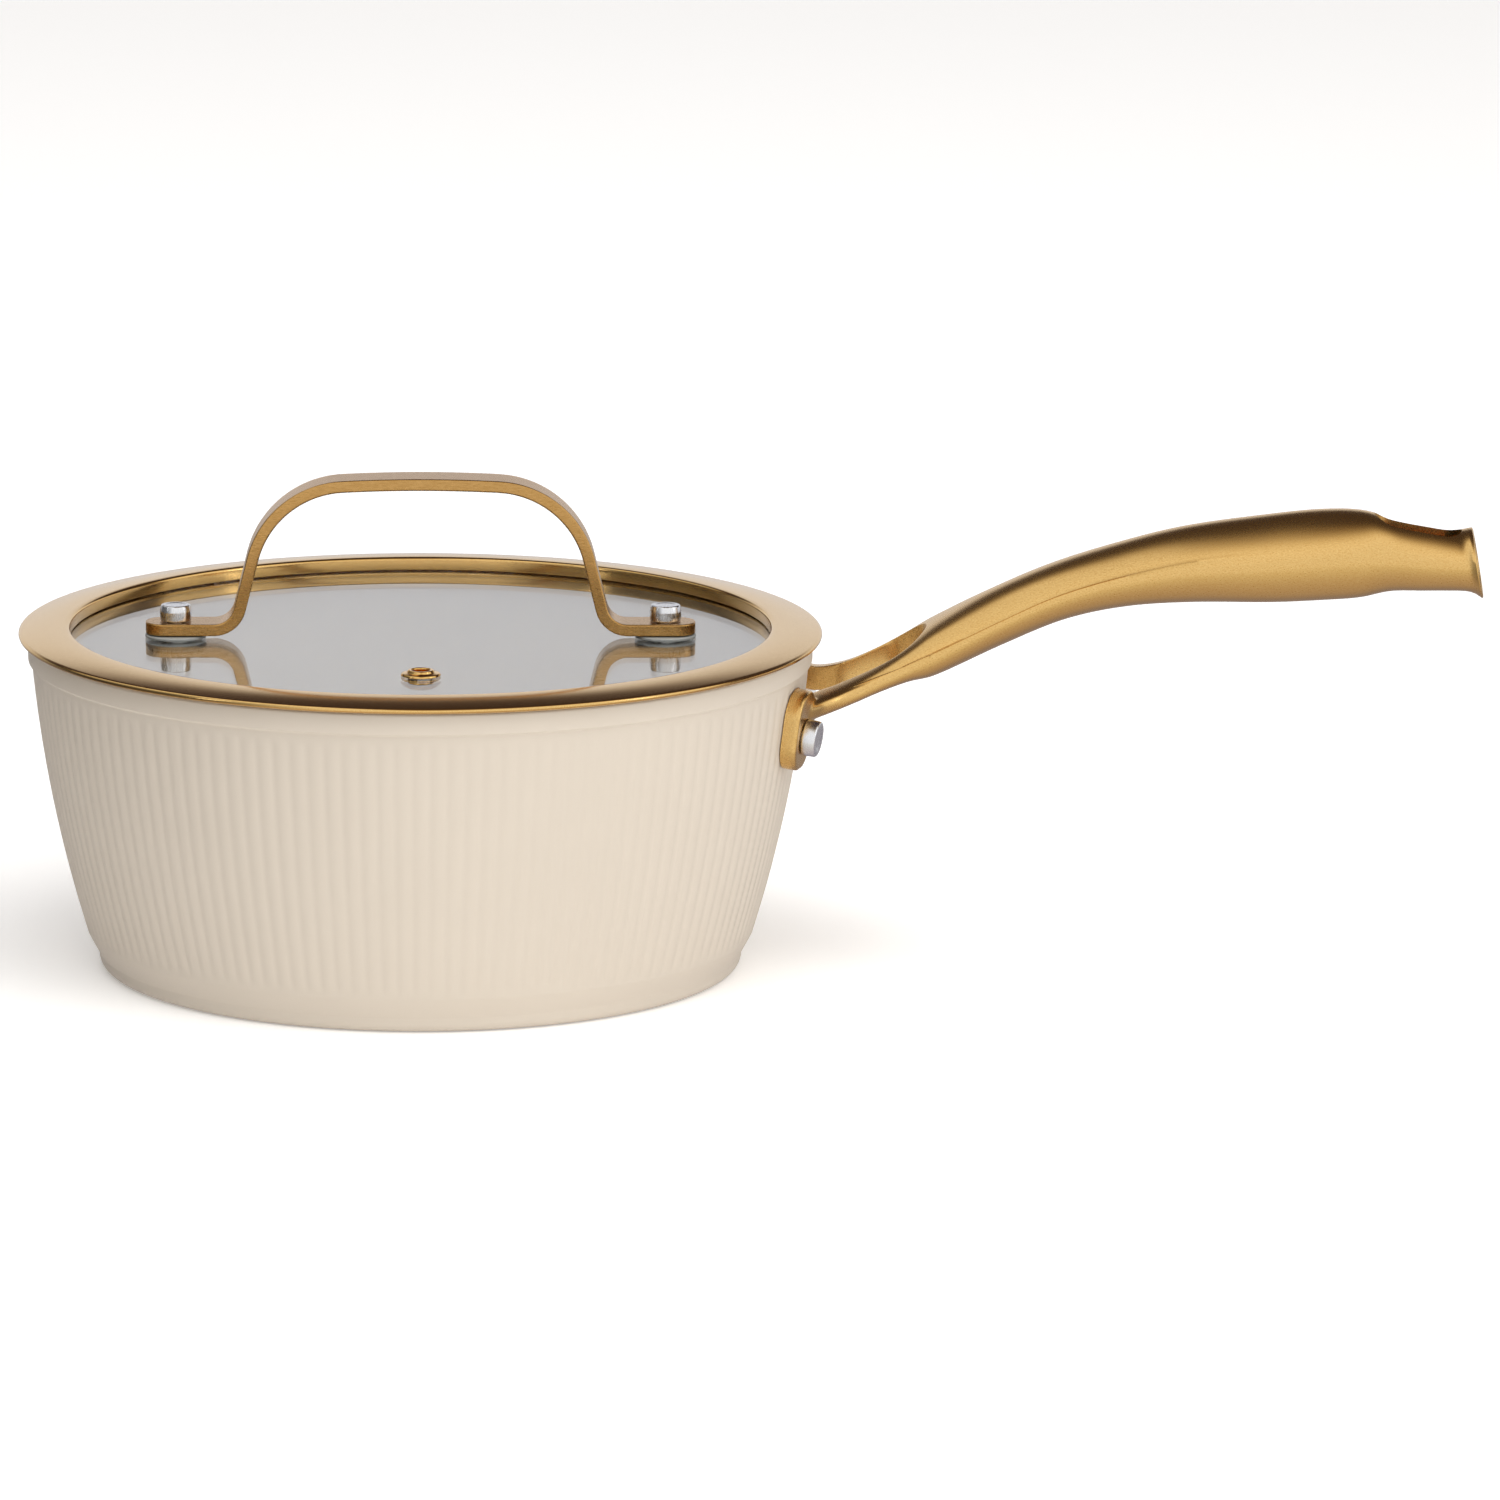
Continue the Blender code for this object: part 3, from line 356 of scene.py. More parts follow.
def makePan():
    p = pan
    ringRadius = p["footRadius"] - p["baseStep"]
    insideFoot = wallRadius(p["floor"] + p["floorCorner"]) - p["wall"]
    inside = [(0, p["floor"]), (insideFoot - p["floorCorner"], p["floor"])]
    corner = roundLine([(insideFoot - 2 * p["floorCorner"], p["floor"]),
                        (insideFoot, p["floor"], p["floorCorner"]),
                        (insideFoot, p["floor"] + 2 * p["floorCorner"])], steps=10)[1:-1]
    inside += corner
    low = p["floor"] + p["floorCorner"]
    for i in range(1, 9):
        height = low + (wallTop - low) * i / 8
        inside.append((wallRadius(height) - p["wall"], height))
    rimInside = inside[-1][0]
    rim = roundLine([(rimInside, wallTop), (rimInside, p["height"], 0.7), (p["lipRadius"], p["height"], 0.9),
                     (p["lipRadius"] - 0.1, p["height"] - p["bandHeight"], 0.35),
                     (wallRadius(wallTop) + 0.1, wallTop + 0.5, 0.4),
                     (wallRadius(wallTop) - 0.1, wallTop - 0.3)],
                    steps=4)[1:-1]
    fadeRows = [0, 0.12, 0.25, 0.4, 0.6, 0.8, 1.0]
    ribHeights = [p["ribTop"] - p["ribFade"] * share for share in fadeRows]
    middleTop, middleFoot = p["ribTop"] - p["ribFade"], p["ribFoot"] + p["ribFade"]
    ribHeights += [middleTop + (middleFoot - middleTop) * i / p["wallRows"] for i in range(1, p["wallRows"])]
    ribHeights += [p["ribFoot"] + p["ribFade"] * share for share in reversed(fadeRows)]
    wall = [(wallRadius(height), height) for height in ribHeights]
    foot = roundLine([(wallRadius(p["ribFoot"]), p["ribFoot"]), (p["footRadius"] - 0.9, 8.6, 3.0),
                      (ringRadius + 0.2, p["baseHeight"] + 0.4, 1.6), (ringRadius - 0.3, 0, 2.6),
                      (ringRadius - 12, 0)], steps=5)[1:]
    under = roundLine([(ringRadius - 12, 0), (p["plateRadius"], 0, 0.25),
                       (p["plateRadius"], p["plateRecess"]), (0, p["plateRecess"])], steps=3)[1:]
    line = inside + rim + wall + foot + under
    ribAngle = 2 * math.pi / p["ribs"]
    shape = turnSector(line, p["ribSteps"], ribAngle)
    # press the valley of one rib: a wide rounded crest and a narrow valley, sinking into the smooth bands
    for vert in shape.verts:
        radius, height = math.hypot(vert.co.x, vert.co.y), vert.co.z
        if p["ribFoot"] < height < p["ribTop"] and radius > wallRadius(height) - 0.5 * p["wall"]:
            valley = (0.5 - 0.5 * math.cos(2 * math.pi * math.atan2(vert.co.y, vert.co.x) / ribAngle)) ** 2.2
            fade = eased(height, p["ribFoot"], p["ribFoot"] + p["ribFade"])
            fade *= eased(-height, -p["ribTop"], p["ribFade"] - p["ribTop"])
            scale = 1 - p["ribDepth"] * valley * fade / radius
            vert.co.x *= scale
            vert.co.y *= scale
    group = p["ribs"] // p["ribGroups"]
    repeatRound(shape, group, ribAngle)
    repeatRound(shape, p["ribGroups"], ribAngle * group)
    finishPiece(shape, "ribbed_pan_body", cream, "pan", "cream_ceramic", ["pan_body"])


makePan()
print("pan body turned and ribbed")


# Induction plate under the pan

plate = {
    "radius": boxOf("induction_plate")[1].x,
    "thickness": boxOf("induction_plate")[1].z,
    "face": 0.06,              # how far the steel sits behind the buttons
    "grooveWidth": 0.9,
    "grooveDepth": 0.25,
    "dotRings": 5,
    "dotRadius": 2.1,
    "dotTaper": 0.35,
    "dotDepth": 0.3,
    "margin": 6,
}


def makePlate():
    p = plate
    pitch = (p["radius"] - p["margin"]) / (p["dotRings"] + 0.5)
    corners = [(0, p["face"])]
    for i in range(1, p["dotRings"] + 1):
        middle = i * pitch + pitch / 2
        half = p["grooveWidth"] / 2
        corners += [(middle - half, p["face"], 0.1), (middle - 0.6 * half, p["grooveDepth"], 0.1),
                    (middle + 0.6 * half, p["grooveDepth"], 0.1), (middle + half, p["face"], 0.1)]
    corners += [(p["radius"], p["face"], 0.2), (p["radius"], p["thickness"], 0.1), (0, p["thickness"])]
    finishPiece(turn(roundLine(corners, steps=3), 160), "faced_induction_plate", steel, "pan",
                "stainless_steel", ["induction_plate"])
    # the plate's holes are filled by the coated aluminium behind it, which shows as low cream buttons
    dots = bmesh.new()
    for ring in range(p["dotRings"] + 1):
        count = 6 * ring or 1
        for i in range(count):
            angle = 2 * math.pi * (i + 0.5 * (ring % 2)) / count
            out = ring * pitch
            place = Matrix.Translation((out * math.cos(angle), out * math.sin(angle), p["dotDepth"] / 2))
            bmesh.ops.create_cone(dots, cap_ends=True, segments=20, radius1=p["dotRadius"] - p["dotTaper"],
                                  radius2=p["dotRadius"], depth=p["dotDepth"], matrix=place)
    finishPiece(dots, "plate_buttons", cream, "pan", "cream_ceramic", sharp=20)


makePlate()
print("induction plate faced")


# Long handle: a hollow grip that splits into two arms, and a lug at each arm's end

handle = {
    "lugDrop": 19.0,
    "lugSpacing": 57.4,
    "lugWidth": 16.0,
    "lugHeight": 20.9,
    "lugCorner": 7.0,
    "lugThickness": 3.8,
    # reach from the wall, rise above the lug, half height, half width, lean in degrees, corner fullness
    "stations": [
        (-8.0, 3.6, 3.6, 34.5, 0.0, 0.6), (0.0, 4.0, 3.6, 30.0, 0.0, 0.6), (5.0, 4.4, 3.4, 24.0, 4.0, 0.6),
        (12.0, 6.4, 3.4, 19.0, 14.0, 0.6), (20.0, 9.8, 3.7, 16.8, 22.0, 0.65),
        (27.0, 13.0, 4.6, 15.6, 25.0, 0.7), (34.0, 16.0, 6.2, 14.7, 25.5, 0.8),
        (50.0, 23.7, 7.0, 13.0, 25.5, 1.0), (66.0, 30.5, 7.3, 12.1, 19.0, 1.0),
        (82.0, 34.9, 8.2, 12.0, 12.0, 1.0), (100.0, 37.9, 9.9, 12.4, 5.0, 1.0),
        (122.0, 39.5, 11.5, 12.8, 3.0, 1.0), (136.0, 40.5, 11.9, 12.7, 1.0, 1.0),
        (146.0, 40.7, 11.4, 12.0, -2.0, 1.0), (154.0, 40.3, 9.4, 10.7, -4.0, 1.0),
        (162.0, 39.6, 8.6, 10.0, -3.0, 1.0), (171.0, 38.95, 7.95, 9.7, 3.0, 1.0),
        (174.2, 38.95, 8.25, 9.75, 7.0, 1.0), (175.9, 38.7, 8.8, 10.2, 9.5, 1.0),
        (177.5, 38.1, 9.6, 11.0, 10.5, 1.0),
    ],
    "slantLength": 9.0,
    "mouthSlant": 0.09,        # the mouth is cut a little aslant, further back on the near side
    "wall": 1.5,
    "hollowStart": 48.0,
    "forkRoot": 32.2,
    "forkRadius": 11.2,
    # half width of the fork's gap at a reach, where it opens towards the pan
    "gapFlare": [
        (-8.0, 19.0), (0.0, 19.0), (4.0, 14.2), (10.0, 11.8), (21.0, 11.2),
    ],
    # reach, place round the section in degrees, and height of the fine ridge along each flank
    "crease": [
        (11.0, 28.0, 0.0), (16.0, 22.0, 0.3), (26.0, 9.0, 0.45), (67.0, 10.0, 0.45), (97.0, 15.0, 0.22),
        (122.0, 17.0, 0.0), (178.0, 17.0, 0.0),
    ],
    "upperPoints": 18,
    "lowerPoints": 18,
    "cut": 12.5,               # reach where the lug castings meet the grip's arms
    "slotStart": 149.0,
    "slotEnd": 172.0,
    "slotWidth": 10.0,
    "rimRadius": 0.45,
    "edgeRadius": 0.42,
    "ridgeWidth": 0.45,
    "rowStep": 0.8,            # between the rows along an arm
    "smoothPasses": 14,
    "voxel": 0.36,
}
lugHeightZ = pan["height"] - handle["lugDrop"]
rootRadius = wallRadius(lugHeightZ)


def alongRows(rows, reach):  # a smooth curve through rows, read at a reach
    last = len(rows) - 2
    i = max(0, min(last, next((n for n, row in enumerate(rows[1:]) if row[0] >= reach), last)))
    a, b = rows[i], rows[i + 1]
    before, after = rows[max(i - 1, 0)], rows[min(i + 2, len(rows) - 1)]
    width = b[0] - a[0]
    t = (reach - a[0]) / width
    values = []
    for p, q, r, s in zip(before[1:], a[1:], b[1:], after[1:]):
        slopeA = (r - p) / (b[0] - before[0]) * width
        slopeB = (s - q) / (after[0] - a[0]) * width
        values.append(q * (2 * t**3 - 3 * t**2 + 1) + slopeA * (t**3 - 2 * t**2 + t)
                      + r * (3 * t**2 - 2 * t**3) + slopeB * (t**3 - t**2))
    return values


def gapAt(reach):  # half width of the gap between the arms
    centre = handle["forkRoot"] - handle["forkRadius"]
    if reach <= centre:
        return alongRows(handle["gapFlare"], reach)[0]
    return math.sqrt(max(handle["forkRadius"] ** 2 - (reach - centre) ** 2, 0.0))


def sectionAt(reach):  # sections stand upright through the fork and lean with the grip further out
    rise, halfHeight, halfWidth, lean, fullness = alongRows(handle["stations"], reach)
    upright = lean * eased(reach, 36, 62)
    halfHeight /= math.cos(math.radians(lean - upright))
    return reach, rise, halfHeight, halfWidth, math.radians(upright), fullness


def skinPoint(section, angle, inset=0.0):
    reach, rise, halfHeight, halfWidth, lean, fullness = section
    across = (halfWidth - inset) * abs(math.cos(angle)) ** fullness
    up = (halfHeight - inset) * math.copysign(abs(math.sin(angle)) ** fullness, math.sin(angle))
    return Vector((rootRadius + reach - math.sin(lean) * up, across, lugHeightZ + rise + math.cos(lean) * up))


def gapAngle(section):  # where round the section the gap's edge is
    gap = gapAt(section[0])
    if gap <= 0:
        return math.pi / 2
    return math.acos(min((gap / section[3]) ** (1 / section[5]), 0.999))


def flankRow(section, index, inset=0.0):
    # one of the points from the gap's upper edge round the flank to its lower edge, with the ridge between
    upper, lower = handle["upperPoints"], handle["lowerPoints"]
    edge = gapAngle(section)
    place, ridge = alongRows(handle["crease"], section[0])
    place = math.radians(place)
    near = handle["ridgeWidth"] / section[3]          # the rows beside the ridge
    place = min(place, edge - 3 * near)
    if index == upper:
        angle = place
    elif index < upper:
        angle = edge + (place + near - edge) * index / (upper - 1)
    else:
        angle = place - near + (-edge - place + near) * (index - upper - 1) / (lower - 1)
    point = skinPoint(section, angle, inset)
    if index == upper and not inset:
        point.y += max(ridge, 0.0)
    return point


def gridShape(columns, rows, where):  # a grid whose points are placed by where(column, row)
    shape = bmesh.new()
    bmesh.ops.create_grid(shape, x_segments=columns, y_segments=rows, size=0.5)
    for vert in shape.verts:
        vert.co = where(round((vert.co.x + 0.5) * columns), round((vert.co.y + 0.5) * rows))
    return shape


def joinShapes(shapes):
    whole = shapes[0]
    for other in shapes[1:]:
        mesh = bpy.data.meshes.new("working")
        other.to_mesh(mesh)
        other.free()
        whole.from_mesh(mesh)
        bpy.data.meshes.remove(mesh)
    return whole


def forkReaches(start):
    centre = handle["forkRoot"] - handle["forkRadius"]
    count = math.ceil((centre - start) / handle["rowStep"])
    straight = [start + (centre - start) * i / count for i in range(count)]
    return straight + [centre + handle["forkRadius"] * math.sin(math.pi / 2 * i / 20) for i in range(21)]


def forkWall(reaches, steps=8):  # the flat wall inside an arm, along the gap
    sections = [sectionAt(reach) for reach in reaches]

    def where(column, row):
        section = sections[column]
        edge = gapAngle(section)
        top, low = skinPoint(section, edge), skinPoint(section, -edge)
        return top.lerp(low, row / steps)

    return gridShape(len(reaches) - 1, steps, where)


def makeGrip():
    h = handle
    fork = forkReaches(h["cut"])
    end = h["stations"][-1][0]
    rim = h["rimRadius"]
    sections = [(sectionAt(reach), 0.0) for reach in fork]
    count = 110
    for i in range(1, count + 1):
        sections.append((sectionAt(fork[-1] + (end - rim - fork[-1]) * i / count), 0.0))
    for i in range(1, 8):  # the mouth's rounded rim
        angle = math.pi * i / 8
        values = list(sectionAt(end - rim))
        values[0] += rim * math.sin(angle)
        sections.append((values, 0.5 * h["wall"] * (1 - math.cos(angle))))
    for i in range(0, 61):
        sections.append((sectionAt(end - rim + (h["hollowStart"] - end + rim) * i / 60), h["wall"]))
    closing = list(sections[-1][0])
    for share in (0.7, 0.35, 0.0):
        values = list(closing)
        values[0] -= 1.5 * (1 - share)
        values[2] = h["wall"] + (closing[2] - h["wall"]) * share
        values[3] = h["wall"] + (closing[3] - h["wall"]) * share
        sections.append((values, h["wall"]))
    skin = gridShape(len(sections) - 1, h["upperPoints"] + h["lowerPoints"],
                     lambda column, row: flankRow(sections[column][0], row, sections[column][1]))
    shape = joinShapes([skin, forkWall(fork)])
    bmesh.ops.remove_doubles(shape, verts=shape.verts, dist=0.002)
    bmesh.ops.mirror(shape, geom=wholeOf(shape), matrix=Matrix.Identity(4),
                     merge_dist=0.004, axis="Y")
    bmesh.ops.remove_doubles(shape, verts=shape.verts, dist=0.002)
    bmesh.ops.recalc_face_normals(shape, faces=shape.faces)
    mouthX = rootRadius + end
    for vert in shape.verts:
        slant = eased(vert.co.x, mouthX - h["slantLength"], mouthX) * h["mouthSlant"]
        vert.co.x += slant * (vert.co.y - h["stations"][-1][3])
    # ease the sharp edges along the gap
    gapEdges = [edge for edge in shape.edges
                if len(edge.link_faces) == 2 and edge.calc_face_angle() > math.radians(50)
                and all(vert.co.x < rootRadius + h["forkRoot"] + 0.5 for vert in edge.verts)]
    bmesh.ops.bevel(shape, geom=gapEdges, affect="EDGES", offset=h["edgeRadius"], segments=3, profile=0.5,
                    material=-1, clamp_overlap=True)
    bmesh.ops.edgeloop_fill(shape, edges=[edge for edge in shape.edges if edge.is_boundary])
    bmesh.ops.recalc_face_normals(shape, faces=shape.faces)
    # hanging slot through the top wall
    cutter = bmesh.new()
    bmesh.ops.create_cube(cutter, size=1.0)
    bmesh.ops.scale(cutter, vec=(h["slotEnd"] - h["slotStart"], h["slotWidth"], 30), verts=cutter.verts)
    upright = [edge for edge in cutter.edges if abs(edge.verts[0].co.z - edge.verts[1].co.z) > 1]
    bmesh.ops.bevel(cutter, geom=upright, affect="EDGES", offset=0.48 * h["slotWidth"], segments=10,
                    profile=0.5, material=-1)
    middle = rootRadius + (h["slotStart"] + h["slotEnd"]) / 2
    bmesh.ops.translate(cutter, vec=(middle, 0, lugHeightZ + h["stations"][-1][1] + 15), verts=cutter.verts)
    bmesh.ops.recalc_face_normals(cutter, faces=cutter.faces)
    cutterItem = newItem("slot_cutter", cutter)

    def cutSlot(item):
        boolean = item.modifiers.new("slot", "BOOLEAN")
        boolean.operation = "DIFFERENCE"
        boolean.object = cutterItem

    shape = applied(shape, cutSlot)
    bpy.data.objects.remove(cutterItem)
    finishPiece(shape, "gold_handle_grip", castGold, "pan", "gold_steel", ["pan_handle"], sharp=48)


def lugFrame(side, height):  # X runs out of the wall at a lug, Y along the wall
    angle = math.asin(handle["lugSpacing"] / 2 / rootRadius)
    return (Matrix.Rotation(side * angle, 4, "Z") @ Matrix.Translation((wallRadius(height), 0, height))
            @ Matrix.Rotation(wallLean(height), 4, "Y"))


def armShape(start, end):  # one closed stretch of the arm on the +Y side
    count = math.ceil((end - start) / handle["rowStep"])
    reaches = [start + (end - start) * i / count for i in range(count + 1)]
    sections = [sectionAt(reach) for reach in reaches]
    skin = gridShape(count, handle["upperPoints"] + handle["lowerPoints"],
                     lambda column, row: flankRow(sections[column], row))
    shape = joinShapes([skin, forkWall(reaches)])
    bmesh.ops.remove_doubles(shape, verts=shape.verts, dist=0.002)
    bmesh.ops.edgeloop_fill(shape, edges=[edge for edge in shape.edges if edge.is_boundary])
    bmesh.ops.recalc_face_normals(shape, faces=shape.faces)
    return shape


def makeLug(side, place):
    h = handle
    arm = armShape(-7.0, h["cut"] + 2.0)
    guide = BVHTree.FromBMesh(arm)
    lug = bmesh.new()
    bmesh.ops.create_cube(lug, size=1.0)
    depth = clearance + h["lugThickness"]
    bmesh.ops.scale(lug, vec=(depth + 3, h["lugWidth"], h["lugHeight"]), verts=lug.verts)
    along = [edge for edge in lug.edges if abs(edge.verts[0].co.x - edge.verts[1].co.x) > 1]
    bmesh.ops.bevel(lug, geom=along, affect="EDGES", offset=h["lugCorner"], segments=10, profile=0.5,
                    material=-1)
    bmesh.ops.translate(lug, vec=((depth - 3) / 2, 0, 0), verts=lug.verts)
    bmesh.ops.transform(lug, matrix=lugFrame(1, lugHeightZ), verts=lug.verts)
    shape = joinShapes([lug, arm])

    def weld(item):
        remesh = item.modifiers.new("weld", "REMESH")
        remesh.mode = "VOXEL"
        remesh.voxel_size = h["voxel"]

    shape = applied(shape, weld)
    # run the joint between arm and lug smooth, as in a casting
    cutX = rootRadius + h["cut"]
    for _ in range(h["smoothPasses"]):
        soft = [vert for vert in shape.verts if vert.co.x < cutX - 2.5]
        bmesh.ops.smooth_vert(shape, verts=soft, factor=0.5, use_axis_x=True, use_axis_y=True,
                              use_axis_z=True)
    for vert in shape.verts:
        exact = guide.find_nearest(vert.co)[0]
        vert.co = vert.co.lerp(exact, eased(vert.co.x, cutX - 5, cutX - 2))
        radius = math.hypot(vert.co.x, vert.co.y)
        least = wallRadius(vert.co.z) + clearance
        if radius < least:
            vert.co.x *= least / radius
            vert.co.y *= least / radius
    bmesh.ops.bisect_plane(shape, geom=wholeOf(shape), plane_co=(cutX, 0, 0),
                           plane_no=(1, 0, 0), clear_outer=True)
    bmesh.ops.edgeloop_fill(shape, edges=[edge for edge in shape.edges if edge.is_boundary])
    if side < 0:
        bmesh.ops.scale(shape, vec=(1, -1, 1), verts=shape.verts)
    finishPiece(shape, "gold_handle_lug_" + place, castGold, "pan", "gold_steel", ["pan_handle"], sharp=48)


makeGrip()
for side, place in ((-1, "front"), (1, "rear")):
    makeLug(side, place)
print("handle lofted, lugs cast on")


# Rivets through the lugs

rivet = {
    "drop": 1.5,
    "tailRadius": 4.8,
    "tailLength": 3.6,
    "shankRadius": 3.0,
    "headRadius": 7.0,
    "headHeight": 1.8,
}


def makeRivet(side, place):
    r = rivet
    seat = clearance * 2 + handle["lugThickness"]
    inner = -pan["wall"] - 2 * clearance
    corners = [(0, seat + r["tailLength"] - 0.25), (2.2, seat + r["tailLength"] - 0.25, 1.2),
               (3.2, seat + r["tailLength"], 0.8), (r["tailRadius"] - 0.15, seat + r["tailLength"], 0.6),
               (r["tailRadius"], seat, 0.3), (r["shankRadius"], seat), (r["shankRadius"], inner),
               (r["headRadius"], inner, 0.2), (r["headRadius"] - 0.6, inner - 0.9, 1.2),
               (3.2, inner - r["headHeight"], 4.0), (0, inner - r["headHeight"])]
    height = lugHeightZ - r["drop"]
    out = lugFrame(side, height) @ Matrix.Rotation(math.pi / 2, 4, "Y")
    finishPiece(turn(roundLine(corners, steps=5), 64), "handle_rivet_pressed_" + place, aluminium, "pan",
                "aluminium", ["handle_rivet_" + place], out, sharp=45)


for side, place in ((-1, "front"), (1, "rear")):
    makeRivet(side, place)
print("rivets pressed")


# Lid: gold ring round the glass

ringLow, ringHigh = boxOf("lid_ring")
glassLow, glassHigh = boxOf("lid_glass")
ring = {
    "outer": ringHigh.x,
    "crest": ringHigh.z,
    "seat": panHigh.z + clearance,
    "width": 13.6,
    "sheet": 0.7,
    "beadRadius": 0.75,
    "hemRadius": 1.15,
    "crown": 0.55,             # how far the rolled crest stands above the pressed ring
    "crestInset": 2.0,
    "drop": 1.15,              # fall from the crest to where the hem rolls over
    "fall": 1.7,               # how late the face falls: 1 is a straight cone
    "lipWidth": 4.6,
    "channelDrop": 1.4,
    "skirtClearance": 1.1,
    "turns": 288,
}


def makeRing():
    r = ring
    inner = r["outer"] - r["width"]
    skirt = wallRadius(wallTop) - pan["wall"] - r["skirtClearance"]
    channel = skirt - r["sheet"]
    glassTop, glassBottom = glassHigh.z, glassLow.z
    hemStart = r["outer"] - r["hemRadius"]
    crest = r["crest"] + r["crown"]
    crestRadius = inner + r["crestInset"]
    top = []
    for i in range(15):  # the convex face: level at the crest, falling faster towards the hem
        share = i / 14
        top.append((crestRadius + (hemStart - crestRadius) * share, crest - r["drop"] * share ** r["fall"]))
    hemTop = top[-1][1]
    hem = []
    slope = math.atan(r["drop"] * r["fall"] / (hemStart - crestRadius))
    tilt = math.pi / 2 - slope
    halfHeight = 0.5 * (hemTop - r["seat"])
    centreX = hemStart - r["hemRadius"] * math.cos(tilt)
    centreZ = hemTop - halfHeight * math.sin(tilt)
    for i in range(1, 13):
        angle = tilt - (math.pi - slope) * i / 12
        hem.append((centreX + r["hemRadius"] * math.cos(angle), centreZ + halfHeight * math.sin(angle)))
    lipTop = glassBottom - clearance
    under = roundLine([(hem[-1][0] - 0.2, r["seat"]), (skirt, r["seat"], 0.3),
                       (skirt, lipTop - r["sheet"], 0.45),
                       (skirt - r["lipWidth"], lipTop - r["sheet"], 0.2),
                       (skirt - r["lipWidth"], lipTop, 0.2),
                       (channel, lipTop, 0.1), (channel, r["crest"] - r["channelDrop"], 0.2),
                       (inner + r["sheet"], r["crest"] - r["channelDrop"], 0.2),
                       (inner + r["sheet"], glassTop + 0.3, 0.15),
                       (inner, glassTop + 0.3, 0.2), (inner, crest - 0.15, r["beadRadius"]),
                       (inner + 1.4, crest + 0.02, 0.4)], steps=5)
    finishPiece(turn(top + hem + under, r["turns"], closed=True), "gold_lid_ring", ringGold, "lid",
                "gold_steel", ["lid_ring"], sharp=60)


makeRing()
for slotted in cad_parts["lid_glass"].material_slots:
    slotted.material = glass
print("lid ring rolled, glass polished")


# Lid handle: a flat strap bent over the glass

strap = {
    "thickness": 3.1,
    "width": 11.4,
    "length": 143.4,
    "rise": 38.5,
    "foot": 17.8,
    "sideAngle": 76.0,
    "crownAngle": 3.0,
    "footBend": 7.0,
    "bridgeBend": 25.5,
    "endRadius": 5.0,
    "edge": 0.42,
    "step": 1.3,
}
strapBottom = boxOf("lid_handle")[0].z


def strapLine():  # the strap's centre line from one foot to the other, as (x, height)
    s = strap
    height = strapBottom + s["thickness"] / 2
    side, crown = math.radians(s["sideAngle"]), math.radians(s["crownAngle"])
    startX = -s["length"] / 2
    bendX = startX + s["foot"]
    half = [(startX, height)]
    for i in range(17):
        angle = side * i / 16
        half.append((bendX + s["footBend"] * math.sin(angle), height + s["footBend"] * (1 - math.cos(angle))))
    top = height + s["rise"]
    bendRise = s["bridgeBend"] * (math.cos(crown) - math.cos(side))
    bendRun = s["bridgeBend"] * (math.sin(side) - math.sin(crown))
    footX, footZ = half[-1]
    run = ((top - footZ - bendRise + (footX + bendRun) * math.tan(crown / 2))
           / (math.tan(side) - math.tan(crown / 2)))
    centreX = footX + run + s["bridgeBend"] * math.sin(side)
    centreZ = footZ + run * math.tan(side) - s["bridgeBend"] * math.cos(side)
    for i in range(33):
        angle = side + (crown - side) * i / 32
        half.append((centreX - s["bridgeBend"] * math.sin(angle),
                     centreZ + s["bridgeBend"] * math.cos(angle)))
    endX, endZ = half[-1]
    for i in range(1, 17):
        share = i / 16
        half.append((endX * (1 - share), endZ + (top - endZ) * (1 - (1 - share) ** 2)))
    return half + [(-x, z) for x, z in reversed(half[:-1])]


def makeStrap():
    s = strap
    line = [Vector(point) for point in strapLine()]
    lengths = [0.0]
    for a, b in zip(line, line[1:]):
        lengths.append(lengths[-1] + (b - a).length)
    total = lengths[-1]
    normals = []
    for i in range(len(line)):
        along = (line[min(i + 1, len(line) - 1)] - line[max(i - 1, 0)]).normalized()
        normals.append(Vector((-along.y, along.x)))
    shape = bmesh.new()
    bmesh.ops.create_cube(shape, size=1.0)
    bmesh.ops.scale(shape, vec=(total, s["width"], s["thickness"]), verts=shape.verts)
    upright = [edge for edge in shape.edges if abs(edge.verts[0].co.z - edge.verts[1].co.z) > 1]
    bmesh.ops.bevel(shape, geom=upright, affect="EDGES", offset=s["endRadius"], segments=12, profile=0.5,
                    material=-1)
    rims = [edge for edge in shape.edges if abs(edge.verts[0].co.z - edge.verts[1].co.z) < 0.01]
    bmesh.ops.bevel(shape, geom=rims, affect="EDGES", offset=s["edge"], segments=4, profile=0.5, material=-1)
    count = int(total / s["step"])
    for i in range(1, count):
        bmesh.ops.bisect_plane(shape, geom=wholeOf(shape),
                               plane_co=(-total / 2 + total * i / count, 0, 0), plane_no=(1, 0, 0))
    for vert in shape.verts:  # bend the flat bar along the centre line
        along = min(max(vert.co.x + total / 2, 0.0), total)
        i = min(next((n for n, length in enumerate(lengths[1:]) if length >= along), len(line) - 2),
                len(line) - 2)
        share = (along - lengths[i]) / (lengths[i + 1] - lengths[i])
        place = line[i].lerp(line[i + 1], share)
        normal = normals[i].lerp(normals[i + 1], share).normalized()
        vert.co = (place.x + normal.x * vert.co.z, vert.co.y, place.y + normal.y * vert.co.z)
    piece = finishPiece(shape, "gold_lid_strap", strapGold, "lid", "gold_steel", ["lid_handle"], sharp=35)
    flat = piece.modifiers.new("flat faces", "WEIGHTED_NORMAL")
    flat.keep_sharp = True
    flat.weight = 60


makeStrap()
print("lid handle bent")


# Pins, washers and bushes at the strap's feet

